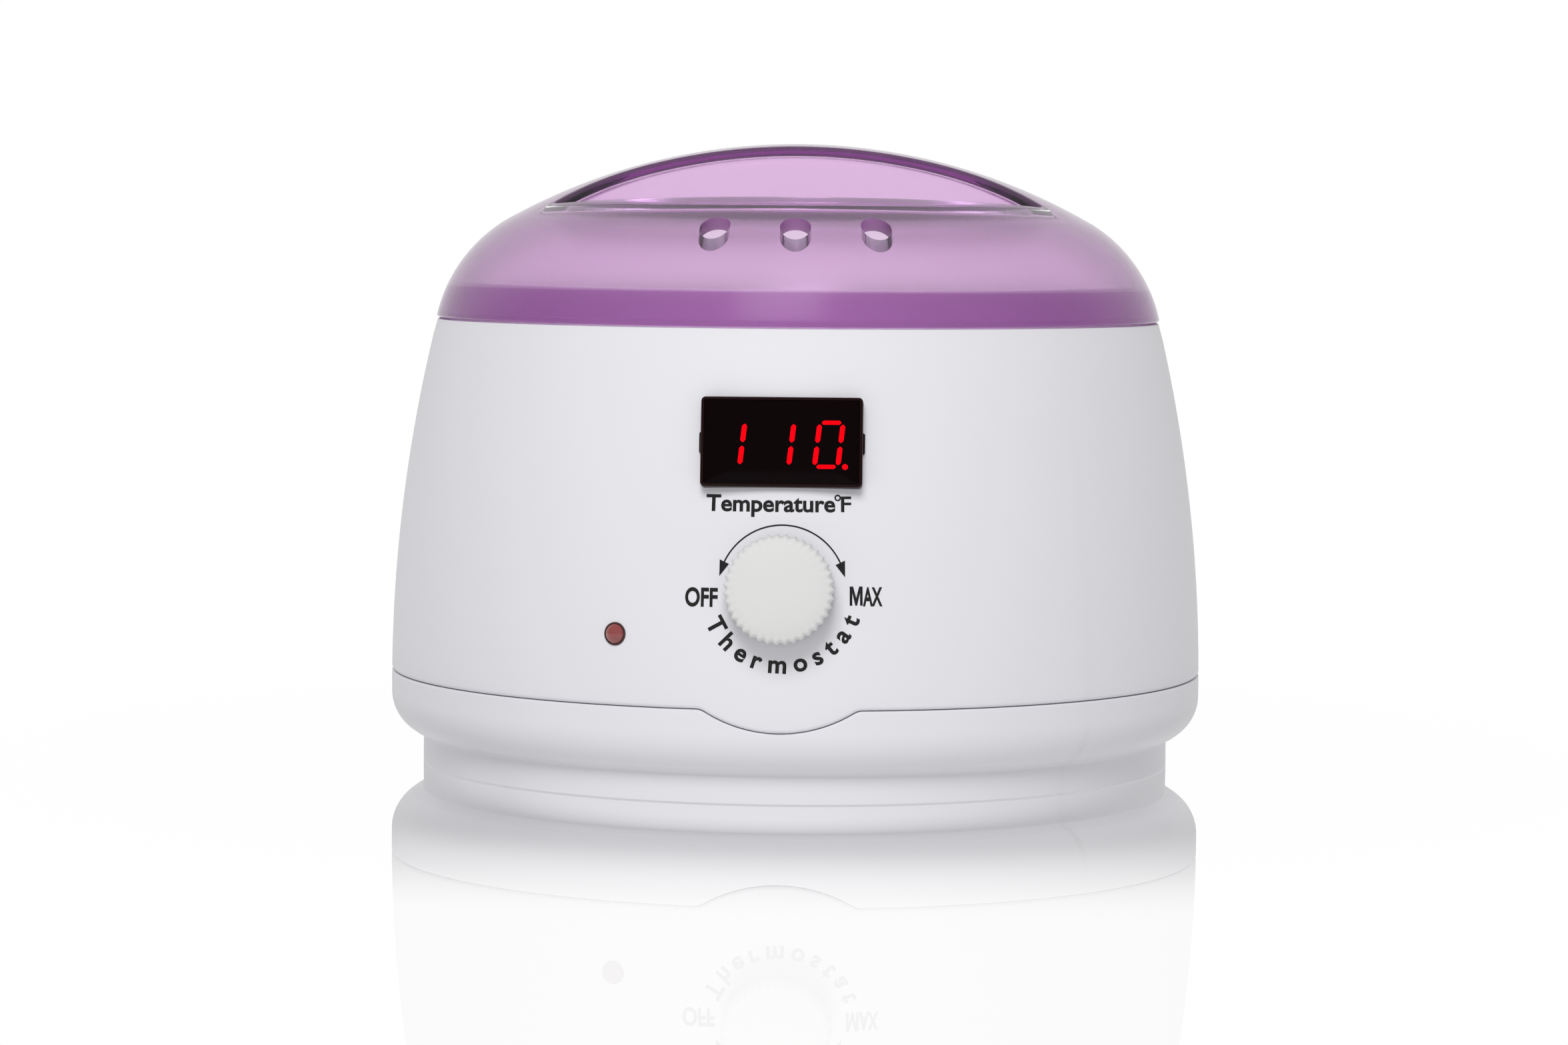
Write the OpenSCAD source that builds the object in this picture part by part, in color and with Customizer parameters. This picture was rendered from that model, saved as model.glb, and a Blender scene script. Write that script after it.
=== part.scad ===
// Wax warmer pot: a round heater with a lift-off translucent lid, a lift-out wax pan on a
// folding bail, a thermostat knob, a temperature display and a pilot lamp.
// The origin is the centre of the foot ring's lower face. +Z is up and the front faces -Y.

/* [Body] */
// Greatest diameter of the body, at its belly
body_d = 175; // [172:0.5:180]
// Height of the belly above the table
belly_z = 17; // [14:0.5:19]
// Radius of the bowed side, seen in section
side_r = 326; // [300:2:360]
// Height of the ledge under the lid
ledge_z = 95.4; // [94:0.2:97]
// Wall thickness of the body and the base
wall = 2.4; // [2:0.1:2.6]
// Height of the seam between body and base
seam_z = 19.75; // [19:0.25:21]
// Width of the seam's groove
seam_gap = 0.5; // [0.3:0.1:0.8]

/* [Base] */
// Outer diameter of the foot ring
foot_d = 161.3; // [156:0.5:164]
// Radius of the base's rounded lower corner
corner_r = 9; // [8.6:0.2:10]
// Height of the corner's centre
corner_z = 15; // [14:0.2:15.4]
// Height of the bottom plate's underside
plate_z = 5; // [4.5:0.25:5.5]

/* [Lid] */
// Height of the top of the lid
lid_top_z = 133.4; // [131:0.2:136]
// Diameter to which the lid's shoulder curve would run out
lid_d = 157.6; // [157:0.1:159]
// Radius of the dome
dome_r = 127.5; // [125:0.5:130]
// Radius of the shoulder between dome and edge
shoulder_r = 32; // [31:0.2:33]
// Degrees that the loose lid is turned from square
lid_turn = 1.5; // [0:0.5:3]
// Wall thickness of the lid
lid_wall = 2.2; // [1.8:0.1:2.4]
// Thickness of the grip ridge between the two finger pockets
ridge_w = 28; // [24:1:32]
// Radius of the pockets' outer lip
pocket_lip_r = 59.5; // [57:0.5:61]
// How far the centre of the lip's arc lies beyond the lid's centre
pocket_lip_y = 6.8; // [5:0.2:9]
// Radius with which the ridge's face turns back at its ends
pocket_end_r = 27.8; // [24:0.2:32]
// Half the length of the ridge's straight face
pocket_end_x = 31; // [26:0.5:34]
// Height of the pockets' floor
pocket_floor_z = 118; // [116:0.5:119]
// Diameter of each vent hole
vent_d = 6.3; // [5:0.1:7]
// Distance of the vent holes from the lid's centre
vent_r = 64.8; // [63:0.2:66]
// Angle between neighbouring vent holes
vent_step = 14.6; // [12:0.2:18]

/* [Pan] */
// Inside diameter of the wax pan's mouth
pan_mouth_d = 119; // [110:1:119]
// Inside diameter of the wax pan's floor
pan_floor_d = 112; // [104:1:113]
// Inside height of the wax pan
pan_h = 56.8; // [50:0.2:57]
// Radius of the folding bail
bail_r = 66.2; // [65.6:0.1:66.6]

/* [Front] */
// Height of the display's centre
display_z = 72.9; // [70:0.5:75]
// Width of the display
display_w = 32.2; // [30:0.2:34]
// Height of the display
display_h = 18; // [17:0.2:20]
// Height of a digit
digit_h = 10; // [8:0.2:11]
// Distance between neighbouring digits
digit_pitch = 9.85; // [9:0.05:10.2]
// Lean of the digits in degrees
digit_slant = 7.4; // [0:0.2:10]
// Height of the knob's axis at the wall
knob_z = 43.9; // [42:0.5:46]
// Diameter over the knob's serrations
knob_d = 21.5; // [20:0.5:24]
// Number of serrations
knob_teeth = 39; // [24:1:48]
// Radius of the rounded lobe that the body reaches down with, about the knob's axis
lobe_r = 28.75; // [28:0.25:29.5]
// Height of the pilot lamp
lamp_z = 34.2; // [31:0.2:40]
// Bearing of the pilot lamp from the front, towards -X
lamp_bearing = 22.4; // [21:0.2:28]

/* [Hidden] */

$fn = 96;
fine = 360;           // facets of the large circles
far = 200;            // longer than anything in the model

// Body
body_r = body_d / 2;
side_cx = body_r - side_r;            // centre of the side's arc
ledge_t = 2.4;
collar_hole_r = 73.1;
boss_ring_r = 74;
boss_r = 4.2;
post_ring_r = 40;
post_bearings = [30, 150, 270];
screw_bearings = [45, 135, 225, 315];
foot_bearings = [0, 90, 180, 270];
seam_low = seam_z - seam_gap / 2;
seam_high = seam_z + seam_gap / 2;
lobe_bottom_z = knob_z - lobe_r - 2;

// Base
foot_r = foot_d / 2;
foot_wall = 3.05;
floor_z = plate_z + wall;             // top of the bottom plate
spigot_in_r = body_r - 4.9;
spigot_out_r = body_r - wall - 0.15;
spigot_z = 22;
post_top_z = 26;
gland_z = 12.6;
gland_bore_r = 3.1;

// Collar and well
collar_top_z = ledge_z + 7.4;
collar_out_r = 72.9;
collar_in_r = 70.6;
seat_z = ledge_z - 0.2;               // shoulder inside the collar
well_in_r = 61.6;
well_out_r = 62.6;
well_floor_z = 39;
well_flange_z = seat_z + 0.6;
band_low_z = 46;
band_high_z = 76;
band_r = 65.2;

// Pan
pan_wall = 1.2;
rim_z = well_flange_z + 1.5;          // underside of the pan's flange
rim_top_z = rim_z + pan_wall;
rim_r = 69.4;
pan_floor_z = rim_top_z - pan_h;
hinge_z = rim_top_z + 1.8;
wire_r = 1.2;
hinge_play = 0.06;
lug_x = 64;
lug_t = 1.2;

// Lid
lid_r = lid_d / 2;
lid_edge_z = ledge_z + 0.3;
dome_z = lid_top_z - dome_r;          // centre of the dome's sphere
shoulder_cx = lid_r - shoulder_r;
shoulder_z = dome_z + sqrt(pow(dome_r - shoulder_r, 2) - pow(shoulder_cx, 2));

// Front
window_t = 0.8;
bezel_face = 1.6;                     // height of the display's face above the wall
shaft_r = 2.5;
shaft_play = 0.06;
bush_r = 4;
can_r = 12;
can_face = -4.2;                      // front of the thermostat, behind the wall's face
knob_gap = 1;
knob_h = 7.6;

// Radius of the body's side at a height
function wall_radius(z) = side_cx + sqrt(side_r * side_r - pow(z - belly_z, 2));

// Lean of the wall at a height, in degrees
function wall_lean(z) = asin((z - belly_z) / side_r);

// A vector turned about Z
function turned(a, v) = [v.x * cos(a) - v.y * sin(a), v.x * sin(a) + v.y * cos(a), v.z];

// A point given in the wall's own axes at a bearing and height, in the model's axes
function wall_point(a, z, p) =
    let (t = wall_lean(z))
    turned(a, [p.x, -wall_radius(z) + p.y * sin(t) - p.z * cos(t), z + p.y * cos(t) + p.z * sin(t)]);

// A point on a Catmull-Rom curve between b and c
function curve_point(a, b, c, d, t) =
    0.5 * (2 * b + (c - a) * t + (2 * a - 5 * b + 4 * c - d) * t * t + (3 * b - a - 3 * c + d) * t * t * t);

// A smooth route through hand-set points, with steps points on each stretch
function route(p, steps) = concat(
    [for (i = [0:len(p) - 2], k = [0:steps - 1])
        curve_point(p[max(i - 1, 0)], p[i], p[i + 1], p[min(i + 2, len(p) - 1)], k / steps)],
    [p[len(p) - 1]]);

function unit(v) = v / norm(v);

// Places children on the wall, with +Z out of the wall and +Y up it
module at_wall(bearing, z) {
    rotate([0, 0, bearing])
        translate([0, -wall_radius(z), z])
            rotate([90 - wall_lean(z), 0, 0])
                children();
}

module around(bearings, r) {
    for (a = bearings)
        rotate([0, 0, a])
            translate([r, 0, 0])
                children();
}

module ring(outer, inner, low, high) {
    translate([0, 0, low])
        difference() {
            cylinder(r = outer, h = high - low, $fn = fine);
            translate([0, 0, -1])
                cylinder(r = inner, h = high - low + 2, $fn = fine);
        }
}

module block(w, d, low, high) {
    translate([-w / 2, -d / 2, low])
        cube([w, d, high - low]);
}

module rod(r, low, high) {
    translate([0, 0, low])
        cylinder(r = r, h = high - low);
}

// A wire of round section along a route. The rings face along the route, turned by a side vector.
module wire(points, r, side, sides = 8) {
    p = route(points, 4);
    n = len(p);
    rings = [for (i = [0:n - 1])
        let (along = unit(p[min(i + 1, n - 1)] - p[max(i - 1, 0)]),
             u = unit(cross(along, side)),
             v = cross(along, u))
        [for (k = [0:sides - 1])
            p[i] + r * (cos(360 * k / sides) * u + sin(360 * k / sides) * v)]];
    polyhedron(
        points = [for (one = rings, q = one) q],
        faces = concat(
            [[for (k = [0:sides - 1]) k]],
            [[for (k = [sides - 1:-1:0]) (n - 1) * sides + k]],
            [for (i = [0:n - 2], k = [0:sides - 1])
                let (m = (k + 1) % sides)
                [i * sides + k, (i + 1) * sides + k, (i + 1) * sides + m, i * sides + m]]));
}

// The body's bowed side as a solid of revolution, drawn in by an inset
module bowed(inset, low, high) {
    rotate_extrude($fn = fine)
        intersection() {
            translate([side_cx, belly_z])
                circle(r = side_r - inset, $fn = 720);
            translate([0, low])
                square([far, high - low]);
        }
}

// The base's outer form, drawn in by an inset: bowed side, rounded corner and flat floor
module bowl_form(inset) {
    corner_cx = wall_radius(corner_z) - corner_r;
    rotate_extrude($fn = fine) {
        intersection() {
            translate([side_cx, belly_z])
                circle(r = side_r - inset, $fn = 720);
            translate([0, corner_z])
                square([far, far]);
        }
        intersection() {
            translate([corner_cx, corner_z])
                circle(r = corner_r - inset);
            square([far, far]);
        }
        translate([0, plate_z + inset])
            square([corner_cx, corner_r]);
    }
}

// The lid's outer form, drawn in by an inset: a dome that rounds over into an upright edge
module dome_form(inset, low) {
    reach = unit([shoulder_cx, shoulder_z - dome_z]);
    rotate_extrude($fn = fine)
        difference() {
            intersection() {
                union() {
                    intersection() {
                        translate([0, dome_z])
                            circle(r = dome_r - inset, $fn = fine);
                        // the wedge above the line from the dome's centre through the shoulder's
                        polygon([[0, dome_z], [0, far], [far * reach.x, dome_z + far * reach.y]]);
                    }
                    translate([shoulder_cx, shoulder_z])
                        circle(r = shoulder_r - inset, $fn = fine);
                    translate([0, low])
                        square([shoulder_cx, shoulder_z + reach.y * (shoulder_r - inset) - low]);
                }
                translate([0, low])
                    square([far, far]);
            }
            translate([-far, 0])
                square([far, far]);
        }
}

// One finger pocket, as a solid: a half-moon in plan whose ends run out to points
module pocket(grow) {
    edge = grow - ridge_w / 2;
    translate([0, 0, pocket_floor_z - grow])
        linear_extrude(height = 40)
            intersection() {
                translate([0, pocket_lip_y])
                    circle(r = pocket_lip_r + grow, $fn = fine);
                union() {
                    translate([-pocket_end_x, edge - far])
                        square([2 * pocket_end_x, far]);
                    for (x = [-pocket_end_x, pocket_end_x])
                        translate([x, -ridge_w / 2 - pocket_end_r])
                            circle(r = pocket_end_r + grow, $fn = fine);
                }
            }
}

module both_pockets(grow) {
    for (a = [lid_turn, 180 + lid_turn])
        rotate([0, 0, a])
            pocket(grow);
}

// The lobe and its seat, a round plug about the knob's axis
module lobe(r) {
    at_wall(0, knob_z)
        rod(r, -14, 8);
}

// ---- casing ----

module outer_shell() {
    color("whitesmoke")
        difference() {
            union() {
                difference() {
                    bowed(0, lobe_bottom_z, ledge_z);
                    difference() {
                        bowed(wall, lobe_bottom_z - 1, ledge_z - ledge_t);
                        // flat pad behind the thermostat
                        at_wall(0, knob_z)
                            rod(11, can_face, 1);
                        // bosses for the display board
                        at_wall(0, display_z)
                            for (x = [-20, 20])
                                translate([x, 0, 0])
                                    rod(2.4, -9.2, 0);
                        // bosses and ribs for the base screws
                        around(screw_bearings, boss_ring_r) {
                            rod(boss_r, floor_z, 40);
                            translate([0, -1.25, seam_high + 2.5])
                                cube([14, 2.5, 17.5]);
                        }
                    }
                }
                around(screw_bearings, boss_ring_r)
                    rod(boss_r, floor_z, 30);
            }
            // everything under the seam but the lobe and the bosses
            difference() {
                translate([0, 0, seam_high - 30])
                    cylinder(r = far / 2, h = 30);
                cylinder(r = boss_ring_r + boss_r + 2, h = 60);
                lobe(lobe_r - seam_gap / 2);
            }
            translate([0, 0, ledge_z - 10])
                cylinder(r = collar_hole_r, h = 20, $fn = fine);
            around(screw_bearings, boss_ring_r)
                rod(1.45, floor_z - 1, 18);
            at_wall(0, display_z) {
                block(display_w - 1.4, display_h - 1.4, -12, 6);
                for (x = [-20, 20])
                    translate([x, 0, 0])
                        rod(1.05, -10, -5.2);
            }
            at_wall(0, knob_z)
                rod(bush_r + 0.15, -8, 6);
            at_wall(-lamp_bearing, lamp_z)
                rod(2.35, -8, 6);
        }
}

module base_bowl() {
    color("whitesmoke")
        difference() {
            union() {
                difference() {
                    bowl_form(0);
                    bowl_form(wall);
                    translate([0, 0, seam_low])
                        cylinder(r = far, h = 2 * far);
                    lobe(lobe_r + seam_gap / 2);
                }
                ring(foot_r, foot_r - foot_wall, 0, corner_z - corner_r + 0.8);
                // locating rim that stands inside the body
                ring(spigot_out_r, spigot_in_r, floor_z, spigot_z);
                difference() {
                    ring(body_r - 1, spigot_out_r - 0.4, corner_z - 4, seam_low);
                    lobe(lobe_r + seam_gap / 2);
                }
                around(post_bearings, post_ring_r)
                    rod(4.5, floor_z - 1, post_top_z);
                for (x = [18, 54], y = [-34, -10])
                    translate([x, y, 0])
                        rod(2.5, floor_z - 1, 12);
                // lower half of the cord clamp
                translate([0, 70, 0])
                    block(22, 8, floor_z - 1, gland_z - 0.2);
            }
            around(post_bearings, post_ring_r)
                rod(2.2, plate_z - 1, post_top_z + 1);
            around(screw_bearings, boss_ring_r)
                rod(1.6, plate_z - 1, floor_z + 1);
            for (a = [7.5:15:360])
                rotate([0, 0, a])
                    translate([46, -1.1, plate_z - 1])
                        cube([13, 2.2, wall + 2]);
            translate([0, 64, gland_z])
                rotate([-90, 0, 0])
                    cylinder(r = gland_bore_r, h = 12);
            translate([0, 78, gland_z])
                rotate([-90, 0, 0])
                    cylinder(r = 4.6, h = 12);
            for (x = [-8, 8])
                translate([x, 70, 0])
                    rod(1.3, 8.5, 30);
        }
}

module top_collar() {
    color("white")
        union() {
            ring(collar_out_r, collar_in_r, 91, collar_top_z);
            ring(collar_out_r, 66, seat_z - 2.2, seat_z);
            ring(75, collar_in_r, ledge_z, ledge_z + 1.2);
            // snap hooks under the ledge
            intersection() {
                ring(74.6, collar_in_r, 91, ledge_z - ledge_t);
                for (a = [15:30:345])
                    rotate([0, 0, a])
                        translate([0, -4, 0])
                            cube([far, 8, far]);
            }
        }
}

module base_screws() {
    color("silver")
        around(screw_bearings, boss_ring_r) {
            difference() {
                rod(2.9, 2.8, plate_z);
                block(3.6, 0.8, 2, 3.6);
                block(0.8, 3.6, 2, 3.6);
            }
            rod(1.4, plate_z, 17);
        }
}

module rubber_feet() {
    color("dimgray")
        around(foot_bearings, 68)
            rod(5.5, 0, plate_z);
}

// ---- heating well ----

module well_gasket() {
    color("tomato")
        ring(69.8, 66.2, seat_z, well_flange_z);
}

module heating_well() {
    color("silver")
        union() {
            ring(well_out_r, well_in_r, well_floor_z, well_flange_z + 1);
            rod(well_out_r, well_floor_z, well_floor_z + 1, $fn = fine);
            ring(70.2, well_in_r, well_flange_z, well_flange_z + 1.2);
        }
}

module well_spacers() {
    color("gray")
        around(post_bearings, post_ring_r)
            difference() {
                rod(3.5, post_top_z + 0.8, well_floor_z);
                rod(2.05, post_top_z - 1, well_floor_z - 1);
            }
}

module well_screws() {
    color("silver")
        around(post_bearings, post_ring_r) {
            difference() {
                rod(3.6, 2.6, plate_z);
                block(4.4, 1, 2, 3.6);
                block(1, 4.4, 2, 3.6);
            }
            rod(2, plate_z, well_floor_z - 1.4);
        }
}

module heater_band() {
    color("burlywood")
        difference() {
            ring(band_r, well_out_r, band_low_z, band_high_z);
            translate([-3, 0, band_low_z - 1])
                cube([6, far, far]);
        }
}

module heater_strap() {
    color("gainsboro")
        difference() {
            union() {
                ring(band_r + 0.5, band_r, band_low_z + 9, band_high_z - 9);
                for (x = [-4.6, 3.4])
                    translate([x, band_r, band_low_z + 9])
                        cube([1.2, 10, band_high_z - band_low_z - 18]);
            }
            translate([-3.4, 0, 0])
                cube([6.8, far, far]);
            translate([0, band_r + 6, (band_low_z + band_high_z) / 2])
                rotate([0, 90, 0])
                    cylinder(r = 2.1, h = 20, center = true);
        }
}

module strap_screw() {
    color("silver")
        translate([0, band_r + 6, (band_low_z + band_high_z) / 2])
            rotate([0, 90, 0]) {
                rod(2, -4.6, 8.2);
                rod(3.4, -7, -4.6);
                rod(3.8, 4.6, 7.6, $fn = 6);
            }
}

module insulation_sleeve() {
    color("khaki")
        difference() {
            union() {
                ring(band_r + 3, band_r + 0.6, band_low_z - 2, band_low_z + 8.6);
                ring(band_r + 3, band_r + 0.6, band_high_z - 8.6, band_high_z + 3);
                ring(band_r + 3, band_r + 1, band_low_z + 8.6, band_high_z - 8.6);
            }
            translate([-9, 0, 0])
                cube([18, far, far]);
        }
}

module heat_shield() {
    color("lightgray")
        difference() {
            rod(68, post_top_z, post_top_z + 0.8, $fn = fine);
            around(post_bearings, post_ring_r)
                rod(2.2, 0, far);
        }
}

module thermal_fuse() {
    color("goldenrod")
        translate([18, 14, well_floor_z - 3.2])
            rotate([0, 90, 0]) {
                rod(2, -6, 6);
                rod(0.5, -11, 11);
            }
}

module fuse_clip() {
    color("silver")
        translate([18, 14, 0])
            difference() {
                union() {
                    block(5, 6.4, well_floor_z - 6, well_floor_z - 0.4);
                    block(5, 16, well_floor_z - 0.8, well_floor_z);
                }
                translate([0, 0, well_floor_z - 3.2])
                    rotate([0, 90, 0])
                        cylinder(r = 2, h = 20, center = true);
                block(6, 3, well_floor_z - 5.2, well_floor_z - 4);
            }
}

module sensor_probe() {
    color("darkgoldenrod")
        translate([-16, 0, 0]) {
            difference() {
                rod(5, well_floor_z - 1, well_floor_z);
                rod(1.2, well_floor_z - 2, well_floor_z + 1);
            }
            translate([0, -9, well_floor_z - 1.8])
                rotate([90, 0, 0])
                    cylinder(r = 1.8, h = 12, center = true);
        }
}

// ---- thermostat and knob ----

module thermostat_body() {
    color("saddlebrown")
        at_wall(0, knob_z)
            difference() {
                union() {
                    rod(can_r, -15, can_face);
                    block(18, 2 * can_r, -15, can_face);
                    rod(bush_r, -5, 2.4);
                }
                rod(shaft_r + shaft_play, -12, 3);
            }
}

module thermostat_blades() {
    color("gold")
        at_wall(0, knob_z)
            for (x = [-6, 6])
                translate([x - 2.4, -can_r - 5, -10.4])
                    difference() {
                        cube([4.8, 5, 0.8]);
                        translate([2.4, 2, -1])
                            cylinder(r = 0.8, h = 3);
                    }
}

module thermostat_nut() {
    color("silver")
        at_wall(0, knob_z)
            difference() {
                rod(6.2, 0, 1.6, $fn = 6);
                rod(bush_r, -1, 3);
            }
}

module thermostat_shaft() {
    color("silver")
        at_wall(0, knob_z)
            rod(shaft_r, -11.5, 7);
}

// The knob: a serrated skirt under a low dome, hollow over the nut
module control_knob() {
    teeth = knob_teeth;
    r = knob_d / 2;
    depth = 0.45;
    color("ivory")
        at_wall(0, knob_z)
            difference() {
                intersection() {
                    translate([0, 0, knob_gap])
                        linear_extrude(height = knob_h)
                            polygon([for (i = [0:teeth * 4 - 1])
                                let (a = 90 * i / teeth, s = (1 - cos(90 * i)) / 2)
                                (r - depth * s) * [cos(a), sin(a)]]);
                    translate([0, 0, knob_gap + knob_h - 40])
                        sphere(r = 40, $fn = fine);
                }
                rod(7.2, 0, 3.4);
                rod(shaft_r, 0, 7);
            }
}

// ---- display ----

// One bar of a digit between two points, with mitred ends, leaned with the digit
module segment(a, b, low, high) {
    t = 0.52;                         // half the bar's width
    along = unit(b - a);
    across = [-along.y, along.x];
    pts = [a, a + t * (along + across), b + t * (across - along), b,
           b - t * (across + along), a + t * (along - across)];
    translate([0, 0, low])
        linear_extrude(height = high - low)
            polygon([for (p = pts) [p.x + p.y * tan(digit_slant), p.y]]);
}

// The lit bars: two ones and a nought, and the point after it
module digits(low, high) {
    w = digit_h * 0.245;
    h = digit_h * 0.4475;
    g = 0.12;
    right = [[[w, g], [w, h - g]], [[w, -h + g], [w, -g]]];
    rest = [[[-w, g], [-w, h - g]], [[-w, -h + g], [-w, -g]],
            [[-w + g, h], [w - g, h]], [[-w + g, -h], [w - g, -h]]];
    for (x = [-digit_pitch, 0, digit_pitch])
        translate([x, 0, 0])
            for (s = right)
                segment(s[0], s[1], low, high);
    translate([digit_pitch, 0, 0]) {
        for (s = rest)
            segment(s[0], s[1], low, high);
        translate([w + 0.55, -h + 0.05, low])
            cylinder(r = 0.62, h = high - low);
    }
}

module display_bezel() {
    w = display_w;
    h = display_h;
    color("black")
        difference() {
            union() {
                difference() {
                    at_wall(0, display_z) {
                        block(w, h, -3, bezel_face);
                        // moulded catches on both sides
                        block(w + 0.7, 4.6, -1.4, -0.2);
                    }
                    bowed(-0.05, 40, ledge_z);
                }
                at_wall(0, display_z)
                    block(w - 1.8, h - 1.8, -9, bezel_face - 0.5);
            }
            at_wall(0, display_z) {
                block(w - 1.2, h - 1.2, bezel_face - 0.1 - window_t, 4);
                block(w - 3.8, h - 3.8, -10, 4);
            }
        }
}

module display_window() {
    color("black")
        at_wall(0, display_z)
            difference() {
                block(display_w - 1.3, display_h - 1.3, bezel_face - 0.1 - window_t, bezel_face - 0.1);
                digits(bezel_face - 0.45, bezel_face + 1);
            }
}

module digit_segments() {
    color("red")
        at_wall(0, display_z)
            digits(bezel_face - 0.45, bezel_face - 0.05);
}

module led_module() {
    color("dimgray")
        at_wall(0, display_z)
            block(display_w - 4, display_h - 4, -9, bezel_face - 0.15 - window_t);
}

module display_board() {
    color("green")
        at_wall(0, display_z)
            difference() {
                block(46, 20, -10.8, -9.2);
                for (x = [-20, 20])
                    translate([x, 0, 0])
                        rod(1.2, -12, -8);
            }
}

module board_screws() {
    color("silver")
        at_wall(0, display_z)
            for (x = [-20, 20])
                translate([x, 0, 0]) {
                    rod(1.9, -12.2, -10.8);
                    rod(1, -10.8, -5.5);
                }
}

// ---- pilot lamp ----

module indicator_ring() {
    color("black")
        at_wall(-lamp_bearing, lamp_z)
            difference() {
                rod(2.33, -3.4, 0.3);
                rod(2, -5, 2);
            }
}

module indicator_lens() {
    color("firebrick")
        at_wall(-lamp_bearing, lamp_z) {
            rod(1.98, -4, 0.3);
            intersection() {
                rod(1.98, 0.2, 3);
                translate([0, 0, -0.9])
                    sphere(r = 2.3);
            }
        }
}

module indicator_lamp() {
    color("orange")
        at_wall(-lamp_bearing, lamp_z)
            rod(2.6, -15, -4.2);
}

// ---- electrics in the base ----

module driver_board() {
    color("green")
        translate([36, -22, 0])
            block(42, 30, 12, 13.6);
}

module driver_parts() {
    color("darkslategray") {
        translate([46, -22, 13.6])
            rod(6, 0, 9);
        translate([28, -27, 0])
            block(14, 12, 13.6, 22);
        translate([30, -13, 0])
            block(12, 5, 13.6, 19);
        translate([49, -12, 0])
            block(8, 4, 13.6, 18);
    }
}

module terminal_block() {
    color("white")
        difference() {
            translate([0, 48, 0])
                block(30, 14, floor_z, 19);
            for (x = [-10, 0, 10]) {
                translate([x, 48, 0])
                    rod(2, 14, 20);
                translate([x, 48, 12])
                    rotate([90, 0, 0])
                        cylinder(r = 1.6, h = 20, center = true);
            }
        }
}

module cord_gland() {
    color("lightgray")
        translate([0, 0, gland_z])
            rotate([-90, 0, 0])
                difference() {
                    union() {
                        rod(4.5, 79.6, body_r + 2);
                        rod(5.9, body_r + 0.1, body_r + 2);
                    }
                    rod(gland_bore_r, 70, far);
                }
}

module cord_clamp() {
    color("gray")
        translate([0, 70, 0])
            difference() {
                block(22, 8, gland_z + 0.2, gland_z + 5.4);
                translate([0, 0, gland_z])
                    rotate([90, 0, 0])
                        cylinder(r = gland_bore_r, h = 20, center = true);
                for (x = [-8, 8])
                    translate([x, 0, 0])
                        rod(1.6, 0, far);
            }
}

module clamp_screws() {
    color("silver")
        for (x = [-8, 8])
            translate([x, 70, 0]) {
                rod(2.8, gland_z + 5.4, gland_z + 7.4);
                rod(1.2, 9, gland_z + 5.4);
            }
}

module mains_leads() {
    color("brown")
        wire([[-10, 40, 12], [-20, 26, 13], [-26, 0, 14], [-24, -34, 16], [-14, -62, 19],
              [-9, -74, 22], wall_point(0, knob_z, [-6, -16.6, -11.6])], 1.3, [1, 0.3, 0.1]);
    color("royalblue")
        wire([[0, 40, 12], [-4, 24, 13], [-6, 0, 13], [-12, -30, 15], [-6, -60, 18],
              [2, -74, 21], wall_point(0, knob_z, [6, -16.6, -11.6])], 1.3, [1, 0.1, 0.1]);
}

module heater_leads() {
    color("red")
        for (side = [-1, 1])
            wire([[side * 6, 76, 56], [side * 30, 72, 56], [side * 62, 46, 54], [side * 76, 4, 52],
                  [side * 68, -34, 54], [side * 46, -62, 56], [side * 22, -74, 54],
                  [side * 15, -76, 48]], 1.2, [0, 0, 1]);
}

module sensor_lead() {
    color("black")
        wire([[-16, -15.5, 37.2], [-16, -24, 35], [-4, -56, 33], [26, -70, 34], [39, -70.5, 46],
              [38, -70.5, 60], [22, -72, 66]], 0.9, [0.1, 0.2, 1]);
}

// ---- wax pan and bail ----

module wax_pan() {
    color("silver")
        difference() {
            union() {
                translate([0, 0, pan_floor_z - pan_wall])
                    cylinder(d1 = pan_floor_d + 2 * pan_wall, d2 = pan_mouth_d + 2 * pan_wall,
                             h = pan_h + pan_wall, $fn = fine);
                rod(rim_r, rim_z, rim_top_z, $fn = fine);
            }
            translate([0, 0, pan_floor_z])
                cylinder(d1 = pan_floor_d, d2 = pan_mouth_d, h = pan_h, $fn = fine);
            translate([0, 0, rim_top_z - 0.01])
                cylinder(d = pan_mouth_d, h = 5, $fn = fine);
        }
}

// An upright ear on each side of the rim, with an eye for the bail, on a riveted foot
module pan_lugs() {
    color("lightgray")
        for (side = [-1, 1])
            difference() {
                union() {
                    translate([side * lug_x - lug_t / 2, 0, hinge_z])
                        rotate([0, 90, 0])
                            cylinder(r = 2.3, h = lug_t);
                    translate([side * lug_x - lug_t / 2, -2.3, rim_top_z])
                        cube([lug_t, 4.6, hinge_z - rim_top_z]);
                    translate([side * lug_x, 0, 0])
                        block(lug_t, 14, rim_top_z, rim_top_z + 0.7);
                    translate([side * (lug_x - 1.2), 0, 0])
                        block(3.6, 14, rim_top_z, rim_top_z + 0.7);
                }
                translate([side * lug_x, 0, hinge_z])
                    rotate([0, 90, 0])
                        cylinder(r = wire_r + hinge_play, h = 10, center = true);
                translate([side * lug_x, 0, 0])
                    block(10, 20, rim_z, rim_top_z);
                for (y = [-5, 5])
                    translate([side * (lug_x - 1.4), y, 0])
                        rod(0.8, rim_z, far);
            }
}

module lug_rivets() {
    color("silver")
        for (side = [-1, 1], y = [-5, 5])
            translate([side * (lug_x - 1.4), y, rim_top_z]) {
                rod(0.8, 0, 0.7);
                rod(1.3, 0.7, 1.3);
            }
}

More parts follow.
